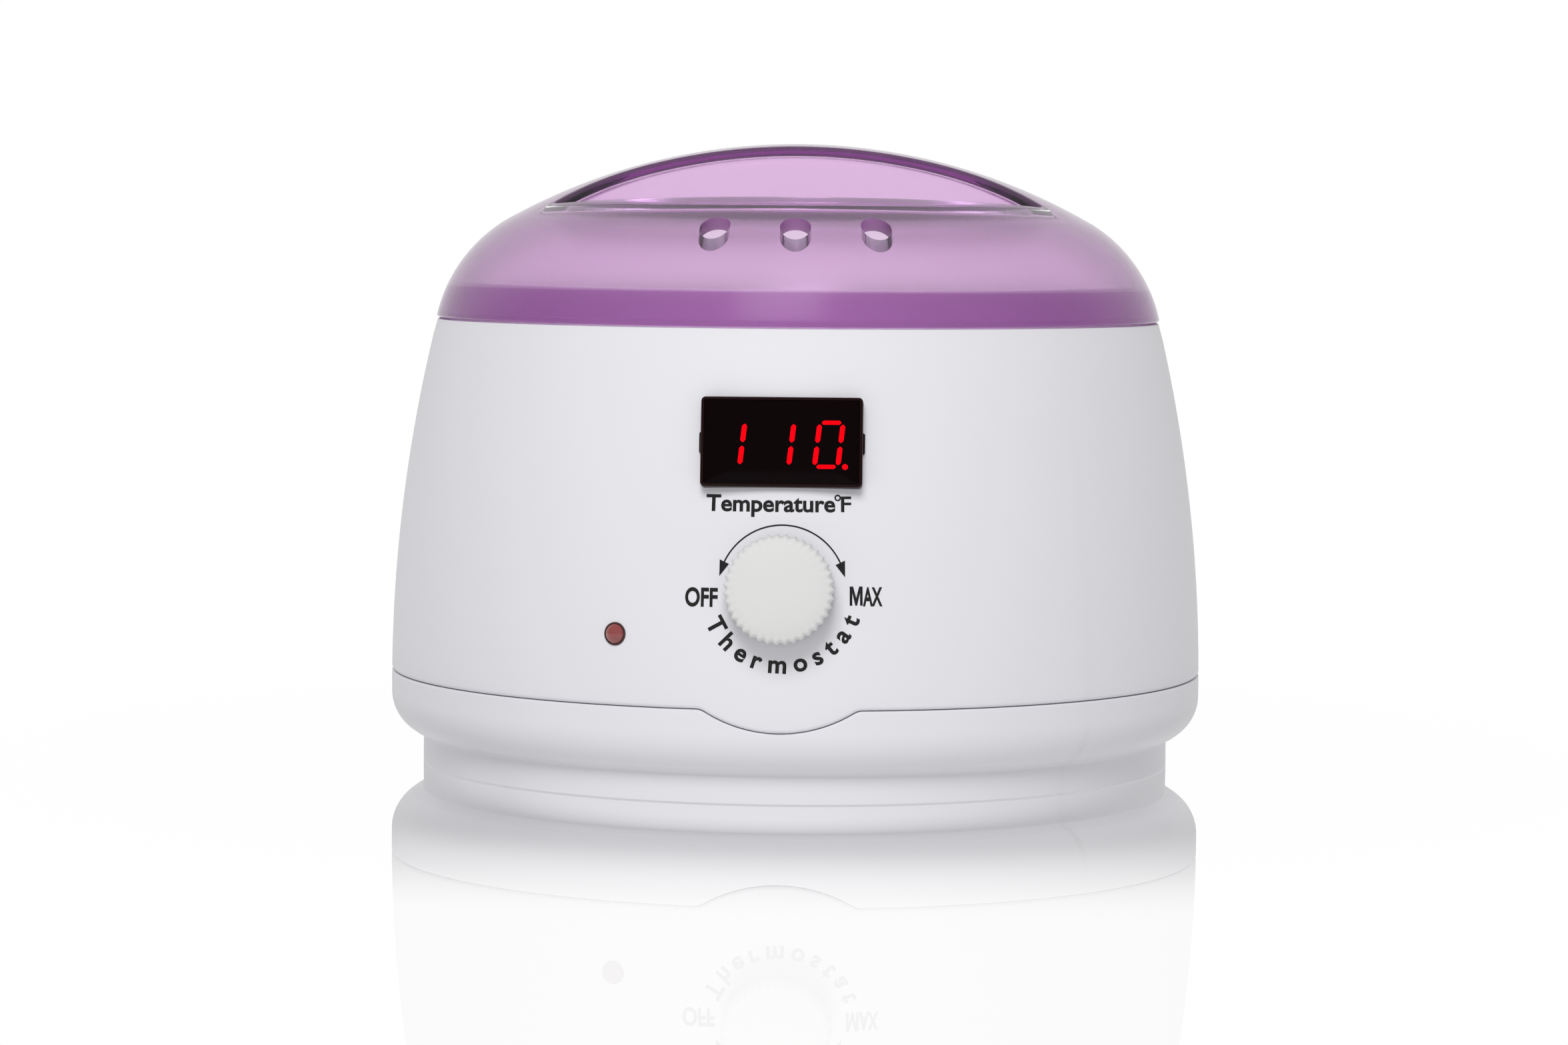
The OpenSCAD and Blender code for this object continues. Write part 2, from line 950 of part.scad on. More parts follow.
// A half-round wire that lies on the rim and swings up about the two eyes
module bail_handle() {
    color("gainsboro")
        translate([0, 0, hinge_z]) {
            rotate_extrude(angle = 180)
                translate([bail_r, 0])
                    circle(r = wire_r, $fn = 32);
            for (side = [-1, 1]) {
                // the bend where the wire turns in through the eye
                translate([side * bail_r, 0, 0])
                    sphere(r = wire_r + 0.12, $fn = 64);
                translate([side * (bail_r + lug_x - 2.4) / 2, 0, 0])
                    rotate([0, 90, 0])
                        cylinder(r = wire_r, h = bail_r - lug_x + 2.4, center = true);
            }
        }
}

// ---- lid ----

module lid() {
    color("plum", 0.7)
        difference() {
            dome_form(0, lid_edge_z);
            both_pockets(0);
            difference() {
                dome_form(lid_wall, lid_edge_z - 1);
                both_pockets(lid_wall);
            }
            for (a = [-vent_step, 0, vent_step])
                rotate([0, 0, a + lid_turn])
                    translate([0, -vent_r, 100])
                        cylinder(d = vent_d, h = 30);
        }
}

outer_shell();
base_bowl();
top_collar();
well_gasket();
heating_well();
well_spacers();
well_screws();
heater_band();
heater_strap();
strap_screw();
insulation_sleeve();
heat_shield();
thermostat_body();
thermostat_blades();
thermostat_nut();
thermostat_shaft();
control_knob();
display_bezel();
display_window();
digit_segments();
led_module();
display_board();
board_screws();
indicator_ring();
indicator_lens();
indicator_lamp();
thermal_fuse();
fuse_clip();
sensor_probe();
driver_board();
driver_parts();
terminal_block();
cord_gland();
cord_clamp();
clamp_screws();
base_screws();
rubber_feet();
mains_leads();
heater_leads();
sensor_lead();
wax_pan();
pan_lugs();
lug_rivets();
bail_handle();
lid();
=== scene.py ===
import math

import bmesh
import bpy
import numpy as np
from mathutils import Matrix, Vector


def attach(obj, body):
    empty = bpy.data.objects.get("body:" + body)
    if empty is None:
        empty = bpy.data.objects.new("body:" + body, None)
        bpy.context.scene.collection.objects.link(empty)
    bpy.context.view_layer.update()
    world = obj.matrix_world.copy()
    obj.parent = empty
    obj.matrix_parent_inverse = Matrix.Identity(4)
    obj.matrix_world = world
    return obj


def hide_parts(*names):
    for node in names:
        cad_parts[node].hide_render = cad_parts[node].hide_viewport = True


# Wax warmer pot. Shapes are worked out in millimetres and made in metres.
# The origin is the centre of the foot ring, +Z is up and the front faces -Y.

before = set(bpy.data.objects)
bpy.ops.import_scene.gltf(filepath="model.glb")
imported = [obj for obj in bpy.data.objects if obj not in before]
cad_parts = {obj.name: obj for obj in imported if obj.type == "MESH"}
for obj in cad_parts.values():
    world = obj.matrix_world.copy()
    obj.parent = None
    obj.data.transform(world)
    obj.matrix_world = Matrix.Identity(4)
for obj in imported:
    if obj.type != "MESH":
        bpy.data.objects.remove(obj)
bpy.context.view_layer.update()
print("frame loaded:", len(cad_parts), "nodes")

mm = 0.001
quarter = math.pi / 2

# ---- camera ----

camera = {
    "distance": 968.4,
    "height": 117.4,
    "azimuth": 2.1,
    "pan": 0.16,
    "pitch": 3.9,
    "roll": 0.46,
    "lens": 102.5,
}


def makeCamera(look):
    # on a circle about the pot's axis, turned to the axis, then panned, pitched and rolled a little
    data = bpy.data.cameras.new("studioCamera")
    data.lens = look["lens"]
    data.sensor_width = 36
    data.clip_start = 0.05
    data.clip_end = 20
    azimuth = math.radians(look["azimuth"])
    out = look["distance"] * mm
    eye = Matrix.Translation((out * math.sin(azimuth), -out * math.cos(azimuth), look["height"] * mm))
    heading = Matrix.Rotation(azimuth + math.radians(look["pan"]), 4, "Z")
    pitch = Matrix.Rotation(quarter - math.radians(look["pitch"]), 4, "X")
    roll = Matrix.Rotation(math.radians(look["roll"]), 4, "Z")
    made = bpy.data.objects.new("studioCamera", data)
    made.matrix_world = eye @ heading @ pitch @ roll
    bpy.context.scene.collection.objects.link(made)
    bpy.context.scene.camera = made
    bpy.context.scene.view_settings.view_transform = "Standard"
    bpy.context.scene.cycles.max_bounces = 20
    bpy.context.scene.cycles.transmission_bounces = 20


makeCamera(camera)
print("camera set")

# ---- shader maths ----


class Shade:
    # A socket in a node tree. Sums, products and powers of shades add Math nodes.
    def __init__(self, tree, socket):
        self.tree = tree
        self.socket = socket

    def node(self, kind, settings=None, links=None, output=0):
        # settings are set first, then the values or links of its sockets
        made = self.tree.nodes.new(kind)
        for key, value in (settings or {}).items():
            setattr(made, key, value)
        for key, value in (links or {}).items():
            if isinstance(value, Shade):
                self.tree.links.new(value.socket, made.inputs[key])
            else:
                made.inputs[key].default_value = value
        return Shade(self.tree, made.outputs[output])

    def maths(self, operation, first, second):
        return self.node("ShaderNodeMath", {"operation": operation}, {0: first, 1: second})

    def __add__(self, other):
        return self.maths("ADD", self, other)

    def __radd__(self, other):
        return self.maths("ADD", other, self)

    def __sub__(self, other):
        return self.maths("SUBTRACT", self, other)

    def __rsub__(self, other):
        return self.maths("SUBTRACT", other, self)

    def __mul__(self, other):
        return self.maths("MULTIPLY", self, other)

    def __rmul__(self, other):
        return self.maths("MULTIPLY", other, self)

    def __pow__(self, other):
        return self.maths("POWER", self, other)

    def between(self, low, high):
        # 0 below low, 1 above high and a smooth step from one to the other
        return self.node("ShaderNodeMapRange", {"interpolation_type": "SMOOTHSTEP"},
                         {"Value": self, "From Min": low, "From Max": high})

    def parts(self):
        made = self.tree.nodes.new("ShaderNodeSeparateXYZ")
        self.tree.links.new(self.socket, made.inputs[0])
        return [Shade(self.tree, output) for output in made.outputs]

    def tint(self, dark, light):
        # dark where this shade is 0 and light where it is 1
        return self.node("ShaderNodeMix", {"data_type": "RGBA"},
                         {"Factor": self, "A": (*dark, 1), "B": (*light, 1)}, 2)


def newFinish(name):
    # a material with an empty tree, and its object coordinates as a shade
    made = bpy.data.materials.new(name)
    made.use_nodes = True
    made.node_tree.nodes.clear()
    tree = made.node_tree
    return made, Shade(tree, None).node("ShaderNodeTexCoord", output="Object")


def speckle(place, scale, detail, roughness=0.5, distortion=0.0):
    return place.node("ShaderNodeTexNoise", {}, {"Vector": place, "Scale": scale, "Detail": detail,
                                                 "Roughness": roughness, "Distortion": distortion})


def relief(height, strength, distance):
    return height.node("ShaderNodeBump", {}, {"Strength": strength, "Distance": distance, "Height": height})


def closeFinish(shade, links, depth=None):
    # the Principled shader with these sockets, and an even absorbing depth for clear plastics
    ends = {"Surface": shade.node("ShaderNodeBsdfPrincipled", {}, links)}
    if depth:
        ends["Volume"] = shade.node("ShaderNodeVolumeAbsorption", {},
                                    {"Color": (*depth["colour"], 1), "Density": depth["density"]})
    output = shade.tree.nodes.new("ShaderNodeOutputMaterial")
    for key, value in ends.items():
        shade.tree.links.new(value.socket, output.inputs[key])


def mouldedPlastic(name, colour, roughness=0.35, grain=0.02, specular=0.5, scatter=0.0):
    # tone drifts slowly over the surface; a fine spark-eroded grain lifts it and varies its gloss
    made, place = newFinish(name)
    drift = speckle(place, 22, 3)
    fine = speckle(place, 2600, 2)
    dark = [c * 0.988 for c in colour]
    light = [c * 1.012 for c in colour]
    closeFinish(place, {
        "Base Color": drift.tint(dark, light),
        "Roughness": roughness + (drift - 0.5) * 0.06 + (fine - 0.5) * 0.05,
        "Normal": relief(fine, grain, 0.0001),
        "Specular IOR Level": specular,
        "Subsurface Weight": scatter,
        "Subsurface Radius": (0.0012, 0.0011, 0.001),
        "Subsurface Scale": 1.0,
    })
    return made


def spunMetal(name, colour, roughness, lines, lineScale=1500, around=True):
    # hair lines run round the axis: the noise is read at (radius, height) and barely along the turn
    made, place = newFinish(name)
    x, y, z = place.parts()
    radius = (x * x + y * y) ** 0.5
    if around:
        lane = place.node("ShaderNodeCombineXYZ", {}, {"X": radius, "Y": z, "Z": 0.0})
    else:
        lane = place.node("ShaderNodeCombineXYZ", {}, {"X": x * 0.04, "Y": y, "Z": z})
    hair = speckle(lane, lineScale, 3, 0.6)
    drift = speckle(place, 60, 2)
    closeFinish(place, {
        "Base Color": drift.tint([c * 0.95 for c in colour], colour),
        "Metallic": 1.0,
        "Roughness": roughness + (hair - 0.5) * 0.2 + (drift - 0.5) * 0.08,
        "Normal": relief(hair, lines, 0.00002),
    })
    return made


def softRubber(name, colour, roughness=0.6):
    # a matt skin with fine pores and slow blotches
    made, place = newFinish(name)
    pores = speckle(place, 3500, 3, 0.7)
    blotch = speckle(place, 90, 2)
    closeFinish(place, {
        "Base Color": blotch.tint([c * 0.88 for c in colour], colour),
        "Roughness": roughness + (pores - 0.5) * 0.15,
        "Normal": relief(pores, 0.12, 0.00005),
        "Sheen Weight": 0.1,
    })
    return made


def laidSheet(name, colours, scale, roughness=0.7, stretch=(1.0, 1.0, 1.0), bump=0.3):
    # fibres or flakes: stretched noise mixed between two tones
    made, place = newFinish(name)
    turned = place.node("ShaderNodeMapping", {}, {"Vector": place, "Scale": stretch})
    fibre = speckle(turned, scale, 5, 0.65, 0.4)
    closeFinish(place, {
        "Base Color": fibre.tint(*colours),
        "Roughness": roughness + (fibre - 0.5) * 0.2,
        "Normal": relief(fibre, bump, 0.0001),
    })
    return made


def solderMask(name, colours):
    # green lacquer over tracks: lines along the edges of one Manhattan cell texture, a little glossier on the
    # copper
    made, place = newFinish(name)
    cells = place.node("ShaderNodeTexVoronoi", {"feature": "DISTANCE_TO_EDGE", "distance": "MANHATTAN"},
                       {"Vector": place, "Scale": 260})
    track = cells.between(0.03, 0.05)
    closeFinish(place, {
        "Base Color": track.tint(*colours),
        "Roughness": 0.35 - track * 0.1,
        "Normal": relief(track, 0.3, 0.00004),
    })
    return made


def litBars(name, colour, strength):
    # the diffuser over each lamp, its glow varying a little at random
    made, place = newFinish(name)
    haze = speckle(place, 900, 1)
    closeFinish(place, {
        "Base Color": (0.2, 0.0, 0.002, 1),
        "Roughness": 0.6,
        "Specular IOR Level": 0.05,
        "Emission Color": haze.tint([c * 0.92 for c in colour], colour),
        "Emission Strength": strength,
    })
    return made


lidPlastic = {
    "colour": (0.60, 0.18, 0.63),
    "density": 150.0,
    "ior": 1.34,
    "clear": 0.96,
    "skin": (1.0, 0.93, 1.0),
    # painted shade: the lid's base colour below rimTop, darker where the collar behind it blocks the light
    "rim": (0.7, 0.47, 0.72),
    "rimTop": 0.1026,
    "polished": 0.04,
    "frosted": 0.2,
}


def clearPlastic(name, look):
    # acrylic tinted by the depth that light crosses; the dome is frosted by as much as the piece's frost
    # attribute says; below a set height the rim's base colour is darker, painted shade of the band where
    # the opaque collar behind the lid keeps light from shining through
    made, place = newFinish(name)
    polish = speckle(place, 45, 2)
    x, y, z = place.parts()
    # painted shade mask: 0 on the rim below the collar's top, 1 on the dome above it
    dome = z.between(look["rimTop"] - 0.0002, look["rimTop"] + 0.0002)
    frost = place.node("ShaderNodeAttribute", {"attribute_name": "frost"}, output="Fac")
    closeFinish(place, {
        "Base Color": dome.tint(look["rim"], look["skin"]),
        "Roughness": look["polished"] + frost * (look["frosted"] + (polish - 0.5) * 0.05),
        "IOR": look["ior"],
        "Transmission Weight": look["clear"],
        "Normal": relief(polish, 0.02, 0.0002),
    }, look)
    return made


def lampLens(name):
    # red moulded lens over a dark cavity
    made, place = newFinish(name)
    haze = speckle(place, 500, 2)
    closeFinish(place, {
        "Base Color": haze.tint((0.25, 0.045, 0.045), (0.33, 0.07, 0.065)),
        "Roughness": 0.12,
        "Coat Weight": 0.6,
        "Subsurface Weight": 0.4,
        "Subsurface Radius": (0.002, 0.0004, 0.0004),
        "Subsurface Scale": 1.0,
    })
    return made


finishes = {
    "shell_plastic": mouldedPlastic("shellPlastic", (0.80, 0.793, 0.832), 0.42, specular=0.35),
    "base_plastic": mouldedPlastic("basePlastic", (0.80, 0.793, 0.832), 0.42, specular=0.35),
    "collar_plastic": mouldedPlastic("collarPlastic", (0.82, 0.81, 0.84), 0.5, grain=0.03),
    "lid_plastic": clearPlastic("lidPlastic", lidPlastic),
    "knob_plastic": mouldedPlastic("knobPlastic", (0.735, 0.735, 0.73), 0.36, specular=0.4, scatter=0.05),
    "display_plastic": mouldedPlastic("displayPlastic", (0.012, 0.0025, 0.003), 0.3, 0.01, 0.12),
    "display_filter": mouldedPlastic("displayFilter", (0.0028, 0.0006, 0.0009), 0.1, 0.002, 0.05),
    "digit_light": litBars("digitLight", (1.0, 0.0, 0.004), 1.0),
    "led_block": mouldedPlastic("ledBlock", (0.1, 0.1, 0.1), 0.5),
    "lamp_lens": lampLens("lampLens"),
    "lamp_ring": mouldedPlastic("lampRing", (0.05, 0.018, 0.018), 0.3),
    "pan_aluminium": spunMetal("panAluminium", (0.82, 0.82, 0.84), 0.24, 0.2),
    "well_aluminium": spunMetal("wellAluminium", (0.74, 0.74, 0.76), 0.34, 0.3, 900),
    "shield_aluminium": spunMetal("shieldAluminium", (0.78, 0.78, 0.8), 0.4, 0.2, 700, around=False),
    "steel": spunMetal("zincSteel", (0.62, 0.63, 0.66), 0.28, 0.15, 2500, around=False),
    "bail_steel": spunMetal("bailSteel", (0.74, 0.74, 0.76), 0.16, 0.1, 3000),
    "brass": spunMetal("brass", (0.75, 0.56, 0.24), 0.3, 0.15, 2500, around=False),
    "silicone": softRubber("silicone", (0.5, 0.09, 0.06)),
    "foot_rubber": softRubber("footRubber", (0.03, 0.03, 0.03)),
    "gland_rubber": softRubber("glandRubber", (0.6, 0.6, 0.63), 0.5),
    "mica": laidSheet("mica", ((0.33, 0.22, 0.1), (0.52, 0.4, 0.22)), 400, 0.4, (1, 1, 0.3)),
    "felt": laidSheet("felt", ((0.62, 0.55, 0.38), (0.8, 0.74, 0.58)), 1200, 0.9, (0.3, 0.3, 1), 0.8),
    "board": solderMask("solderMask", ((0.012, 0.13, 0.04), (0.02, 0.22, 0.07))),
    "components": mouldedPlastic("componentCase", (0.02, 0.024, 0.03), 0.45),
    "phenolic": laidSheet("phenolic", ((0.05, 0.02, 0.01), (0.12, 0.055, 0.03)), 700, 0.45, bump=0.1),
    "nylon": mouldedPlastic("nylon", (0.72, 0.7, 0.64), 0.5, scatter=0.2),
    "lamp_glass": mouldedPlastic("lampBody", (0.6, 0.25, 0.12), 0.2),
    "lead_brown": softRubber("leadBrown", (0.1, 0.035, 0.018), 0.45),
    "lead_red": softRubber("leadRed", (0.42, 0.02, 0.015), 0.45),
    "lead_black": softRubber("leadBlack", (0.015, 0.015, 0.015), 0.45),
    "print_ink": mouldedPlastic("printInk", (0.012, 0.012, 0.013), 0.5, specular=0.3),
}

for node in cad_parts.values():
    for slot in node.material_slots:
        slot.link = "OBJECT"
        slot.material = finishes[slot.material.name if slot.material else node.data.materials[0].name]
print("finishes made:", len(finishes))

# ---- mesh helpers ----


def gridFaces(rows, columns, closedRows, closedColumns):
    # four corners of each cell of a grid of points, with the last row or column joined to the first
    i, j = np.meshgrid(np.arange(rows - (not closedRows)), np.arange(columns - (not closedColumns)),
                       indexing="ij")
    below, beside = (i + 1) % rows, (j + 1) % columns
    return np.stack([i * columns + j, i * columns + beside, below * columns + beside, below * columns + j],
                    -1).reshape(-1, 4)


def values(items, name, size=1, kind=float):
    # one property of all vertices, corners or faces as an array
    got = np.empty(len(items) * size, kind)
    items.foreach_get(name, got)
    return got.reshape(-1, size).squeeze()


def smoothed(mesh, sharp):
    mesh.shade_smooth()
    mesh.set_sharp_from_angle(angle=math.radians(sharp))


def joined(name, mesh, reach):
    # an object of the mesh, with points this near made one and all faces turned outwards
    work = bmesh.new()
    work.from_mesh(mesh)
    bmesh.ops.remove_doubles(work, verts=work.verts, dist=reach)
    bmesh.ops.recalc_face_normals(work, faces=work.faces)
    work.to_mesh(mesh)
    work.free()
    made = bpy.data.objects.new(name, mesh)
    bpy.context.scene.collection.objects.link(made)
    return made


def sewn(name, patches, sharp=32.0):
    # patches are (points, closedRows, closedColumns); they are sewn where their points meet
    points, faces, start = [], [], 0
    for grid, closedRows, closedColumns in patches:
        points.append(grid.reshape(-1, 3))
        faces.append(start + gridFaces(*grid.shape[:2], closedRows, closedColumns))
        start += len(points[-1])
    mesh = bpy.data.meshes.new(name)
    mesh.from_pydata((np.concatenate(points) * mm).tolist(), [], np.concatenate(faces).tolist())
    made = joined(name, mesh, 2e-7)
    smoothed(mesh, sharp)
    return made


def place(piece, body, slot, nodes=(), finish=None):
    # gives a finished piece its material, its body, and the CAD nodes that it stands for
    piece.data.materials.clear()
    piece.data.materials.append(finishes[finish or slot])
    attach(piece, body)
    if nodes:
        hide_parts(*nodes)
    print("made", piece.name, len(piece.data.polygons), "faces")
    return piece


def carve(piece, cutter, sharp=32.0):
    # takes the cutter's solid out of the piece
    cut = piece.modifiers.new("carve", "BOOLEAN")
    cut.object = cutter
    cut.solver = "EXACT"
    done = bpy.data.meshes.new_from_object(piece.evaluated_get(bpy.context.evaluated_depsgraph_get()))
    piece.modifiers.clear()
    piece.data = done
    smoothed(done, sharp)
    bpy.data.objects.remove(cutter)


def rounded(corners, closed=False, steps=6):
    # corners are (x, y, radius); each gives way to an arc that touches both of its sides
    path = []
    for k, (x, y, radius) in enumerate(corners):
        here = np.array([x, y])
        if radius == 0 or (not closed and k in (0, len(corners) - 1)):
            path.append(here[None])
            continue
        back = np.array(corners[k - 1][:2]) - here
        ahead = np.array(corners[(k + 1) % len(corners)][:2]) - here
        back, ahead = back / np.linalg.norm(back), ahead / np.linalg.norm(ahead)
        half = math.acos(np.clip(back @ ahead, -1, 1)) / 2
        middle = (back + ahead) / np.linalg.norm(back + ahead)
        centre = here + middle * radius / math.sin(half)
        first = back / math.tan(half) * radius + here - centre
        last = ahead / math.tan(half) * radius + here - centre
        start = math.atan2(first[1], first[0])
        sweep = (math.atan2(last[1], last[0]) - start + math.pi) % (2 * math.pi) - math.pi
        turn = start + sweep * np.linspace(0, 1, steps + 1)
        path.append(centre + radius * np.stack([np.cos(turn), np.sin(turn)], -1))
    return np.concatenate(path)


def revolved(radius, height, turns):
    # each (radius, height) goes round the axis, from the front towards +X
    radius, height, turns = np.broadcast_arrays(radius, height, turns)
    return np.stack([radius * np.sin(turns), -radius * np.cos(turns), height], -1)


def lathed(name, rows, turns, closed):
    # columns of radii and of heights carried round the pot's axis, one under another
    return sewn(name, [(np.concatenate([revolved(*row, turns) for row in rows]), closed, True)])


def fullTurn(count):
    return np.linspace(0, 2 * math.pi, count, endpoint=False)


def raised(flat, out):
    # plan points with their third coordinate beside them
    return np.concatenate([flat, np.broadcast_to(out, (len(flat), 1))], 1)


# ---- the pot's wall ----

wall = {
    "belly": 87.5,
    "bellyHeight": 17.0,
    "bow": 326.0,
    "thickness": 2.4,
    "ledge": 95.4,
    "ledgeHole": 73.1,
    "seam": 19.75,
    "seamGap": 0.14,
    "seamSoft": 0.6,
    "lobe": 28.75,
    "knobHeight": 43.9,
    "bushHole": 4.15,
    "lowerRound": 0.95,
    "upperRound": 0.45,
}


def wallRadius(height):
    # the side is an arc: its centre's distance from the axis, plus its reach at this height
    return wall["belly"] - wall["bow"] + np.sqrt(wall["bow"] ** 2 - (height - wall["bellyHeight"]) ** 2)


def wallLean(height):
    return math.asin((height - wall["bellyHeight"]) / wall["bow"])


def atWall(points, bearing, height):
    # from the wall's own axes at a bearing and height: x along it, y up it and z straight out of it
    lean, turn = wallLean(height), math.radians(bearing)
    x, y, out = points[..., 0], points[..., 1], points[..., 2]
    depth = y * math.sin(lean) - out * math.cos(lean) - wallRadius(height)
    up = height + y * math.cos(lean) + out * math.sin(lean)
    return np.stack([x * math.cos(turn) - depth * math.sin(turn),
                     x * math.sin(turn) + depth * math.cos(turn), up], -1)


def wrapped(points, bearing, height):
    # as atWall, but x and y follow the curve of the wall and z stands off it
    up = height + points[..., 1] * math.cos(wallLean(height))
    radius = wallRadius(up) + points[..., 2]
    turn = math.radians(bearing) + points[..., 0] / wallRadius(height)
    return np.stack([radius * np.sin(turn), -radius * np.cos(turn), up], -1)


def seamLine(turns, side):
    # height of the parting line: level all round, but where the lobe about the knob's axis dips lower;
    # a small blend rounds the two corners. side is +1 for the body's edge and -1 for the base's.
    level = wall["seam"] + side * wall["seamGap"] / 2
    lobe = wall["lobe"] - side * wall["seamGap"] / 2
    lean = wallLean(wall["knobHeight"])
    dip = np.full_like(turns, level)
    for again in range(4):
        radius = wallRadius(dip)
        half = np.sqrt(np.clip(lobe ** 2 - (radius * np.sin(turns)) ** 2, 0, None))
        fall = half + (wallRadius(wall["knobHeight"]) - radius * np.cos(turns)) * math.sin(lean)
        dip = np.clip(wall["knobHeight"] - fall / math.cos(lean), level - 8, level + 8)
        dip = np.where(np.cos(turns) > 0, dip, level + 8)
    near = np.clip(1 - np.abs(dip - level) / wall["seamSoft"], 0, None)
    return np.minimum(dip, level) - near ** 2 * wall["seamSoft"] / 4


def wallTurns():
    # columns round the wall, close together at the lobe
    lobe = np.linspace(-0.24, 0.24, 161)
    rest = np.linspace(0.24, 2 * math.pi - 0.24, 400)[1:-1]
    return np.concatenate([lobe, rest])


bend = np.linspace(0, quarter, 7)[:, None]


def edgeRows(line, radius):
    # a rounded lower edge: out and up from the edge's flat to the side
    height = line + radius * (1 - np.cos(bend))
    return wallRadius(height) - radius * (1 - np.sin(bend)), height


def makeShell():
    # a closed wall: lower edge, side, ledge with its hole, and the inside back down
    turns = wallTurns()
    top, low = wall["ledge"], seamLine(turns, 1)
    r0, z0 = edgeRows(low, wall["lowerRound"])
    mix = np.linspace(0, 1, 26)[1:-1, None]
    z1 = (low + wall["lowerRound"]) * (1 - mix) + (top - wall["upperRound"]) * mix
    z2 = top - wall["upperRound"] * (1 - np.sin(bend))
    r2 = wallRadius(top) - wall["upperRound"] * (1 - np.cos(bend))
    hole, under = wall["ledgeHole"], top - wall["thickness"]
    inner = rounded([(wallRadius(top) - 1, top, 0), (hole, top, 0.3), (hole, under, 0.2),
                     (float(wallRadius(under)) - wall["thickness"], under, 0)], steps=3)
    z4 = under * (1 - mix[::2]) + (low + 0.3) * mix[::2]
    z5 = np.stack([low + 0.3, low])
    r5 = wallRadius(z5) - wall["thickness"] + np.array([[0.0], [0.3]])
    rows = [(r0, z0), (wallRadius(z1), z1), (r2, z2), (inner[:, :1], inner[:, 1:]),
            (wallRadius(z4) - wall["thickness"], z4), (r5, z5)]
    return lathed("bodyShell", rows, turns, True)


def slabs(name, outlines, low, high, lay=None, sharp=32.0):
    # a solid for each outline, from its low face to its high face; lay carries its points to their place
    patches = []
    for flat in outlines:
        hub = np.repeat(flat.mean(0)[None], len(flat), 0)
        rows = [(hub, low), (flat, low), (flat, high), (hub, high)]
        grid = np.stack([raised(*row) for row in rows])
        patches.append((lay(grid) if lay else grid, False, True))
    return sewn(name, patches, sharp)


def prism(name, outline, low, high, bearing, height):
    # a solid with this outline on the wall's own axes
    return slabs(name, [outline], low, high, lambda grid: atWall(grid, bearing, height))


def circle(radius, count=48):
    turns = fullTurn(count)
    return radius * np.stack([np.cos(turns), np.sin(turns)], -1)


def roundedBox(width, height, corner, steps=5):
    x, y = width / 2, height / 2
    return rounded([(x, -y, corner), (x, y, corner), (-x, y, corner), (-x, -y, corner)], True, steps)


display = {
    "height": 72.9,
    "width": 32.2,
    "tall": 18.0,
    "corner": 0.9,
    "face": 1.6,
    "edge": 0.45,
    "rim": 0.6,
    "inner": 1.9,
    "recess": 0.9,
    "depth": 9.0,
    "catch": (0.8, 4.2),
}
lamp = {
    "bearing": -22.4,
    "height": 34.2,
    "radius": 2.33,
    "inside": 2.0,
    "lens": 1.98,
    "ball": 2.3,
    "sink": 0.9,
}

shell = makeShell()
opening = roundedBox(display["width"] - 1.4, display["tall"] - 1.4, 0.2)
carve(shell, prism("cutDisplay", opening, -12, 6, 0, display["height"]))
carve(shell, prism("cutBush", circle(wall["bushHole"]), -8, 6, 0, wall["knobHeight"]))
carve(shell, prism("cutLamp", circle(lamp["radius"] + 0.02), -8, 6, lamp["bearing"], lamp["height"]))
place(shell, "heater", "shell_plastic", ["outer_shell"])

# ---- the base ----

base = {
    "plate": 5.0,
    "floor": 7.4,
    "floorRadius": 74.0,
    "rise": (78.5, 8.4),
    "sideLow": 13.0,
    "corner": 9.0,
    "cornerHeight": 15.0,
    "foot": 80.65,
    "footWall": 3.05,
    "footRound": 0.35,
    "neckRound": 0.6,
    "lipRound": 0.3,
    "slot": (13.0, 2.2),
    "slotStart": 46.0,
    "slots": 24,
    "wells": (2.2, 40.0, (30, 150, 270)),
    "screws": (1.6, 74.0, (45, 135, 225, 315)),
    "glandHole": 4.6,
    "glandHeight": 12.6,
}


def makeBase():
    # underside from the centre out, foot ring, rounded corner, side, lip, and the inside back to the centre
    turns = wallTurns()
    top = seamLine(turns, -1)
    cornerHeight = base["cornerHeight"]
    centre = float(wallRadius(cornerHeight)) - base["corner"]
    neck = math.asin((base["foot"] - centre) / base["corner"])
    neckHeight = cornerHeight - base["corner"] * math.cos(neck)
    footIn = base["foot"] - base["footWall"]
    under = rounded([(0, base["plate"], 0), (footIn, base["plate"], 0.8), (footIn, 0, base["footRound"]),
                     (base["foot"], 0, base["footRound"]),
                     (base["foot"] - 0.05, neckHeight - 0.1, base["neckRound"]),
                     (base["foot"] + 2.2, cornerHeight - base["corner"] * math.cos(neck + 0.25), 0)], steps=5)
    sweep = np.linspace(neck + 0.27, quarter, 18)[:, None]
    cornerR, cornerZ = centre + base["corner"] * np.sin(sweep), cornerHeight - base["corner"] * np.cos(sweep)
    lip = base["lipRound"]
    mix = np.linspace(0, 1, 8)[1:, None]
    sideZ = cornerHeight * (1 - mix) + (top - lip) * mix
    lipZ = top - lip * (1 - np.sin(bend[1:]))
    lipR = wallRadius(top) - lip * (1 - np.cos(bend[1:]))
    inZ = top * (1 - mix) + base["sideLow"] * mix
    inR = wallRadius(inZ) - wall["thickness"]
    floor = rounded([(float(inR[-1].mean()), base["sideLow"], 0), (*base["rise"], 2.0),
                     (base["floorRadius"], base["floor"], 0), (0, base["floor"], 0)], steps=4)
    rows = [(under[:, :1], under[:, 1:]), (cornerR, cornerZ), (wallRadius(sideZ), sideZ), (lipR, lipZ),
            (wallRadius(top) - wall["thickness"] + 0.2, top[None]), (inR, inZ),
            (floor[1:, :1], floor[1:, 1:])]
    return lathed("baseBowl", rows, turns, False)


def turned(points, degrees):
    # points turned about the pot's axis
    angle = math.radians(degrees)
    way = np.array([[math.cos(angle), math.sin(angle), 0], [-math.sin(angle), math.cos(angle), 0], [0, 0, 1]])
    size = points.shape[-1]
    return points @ way[:size, :size]


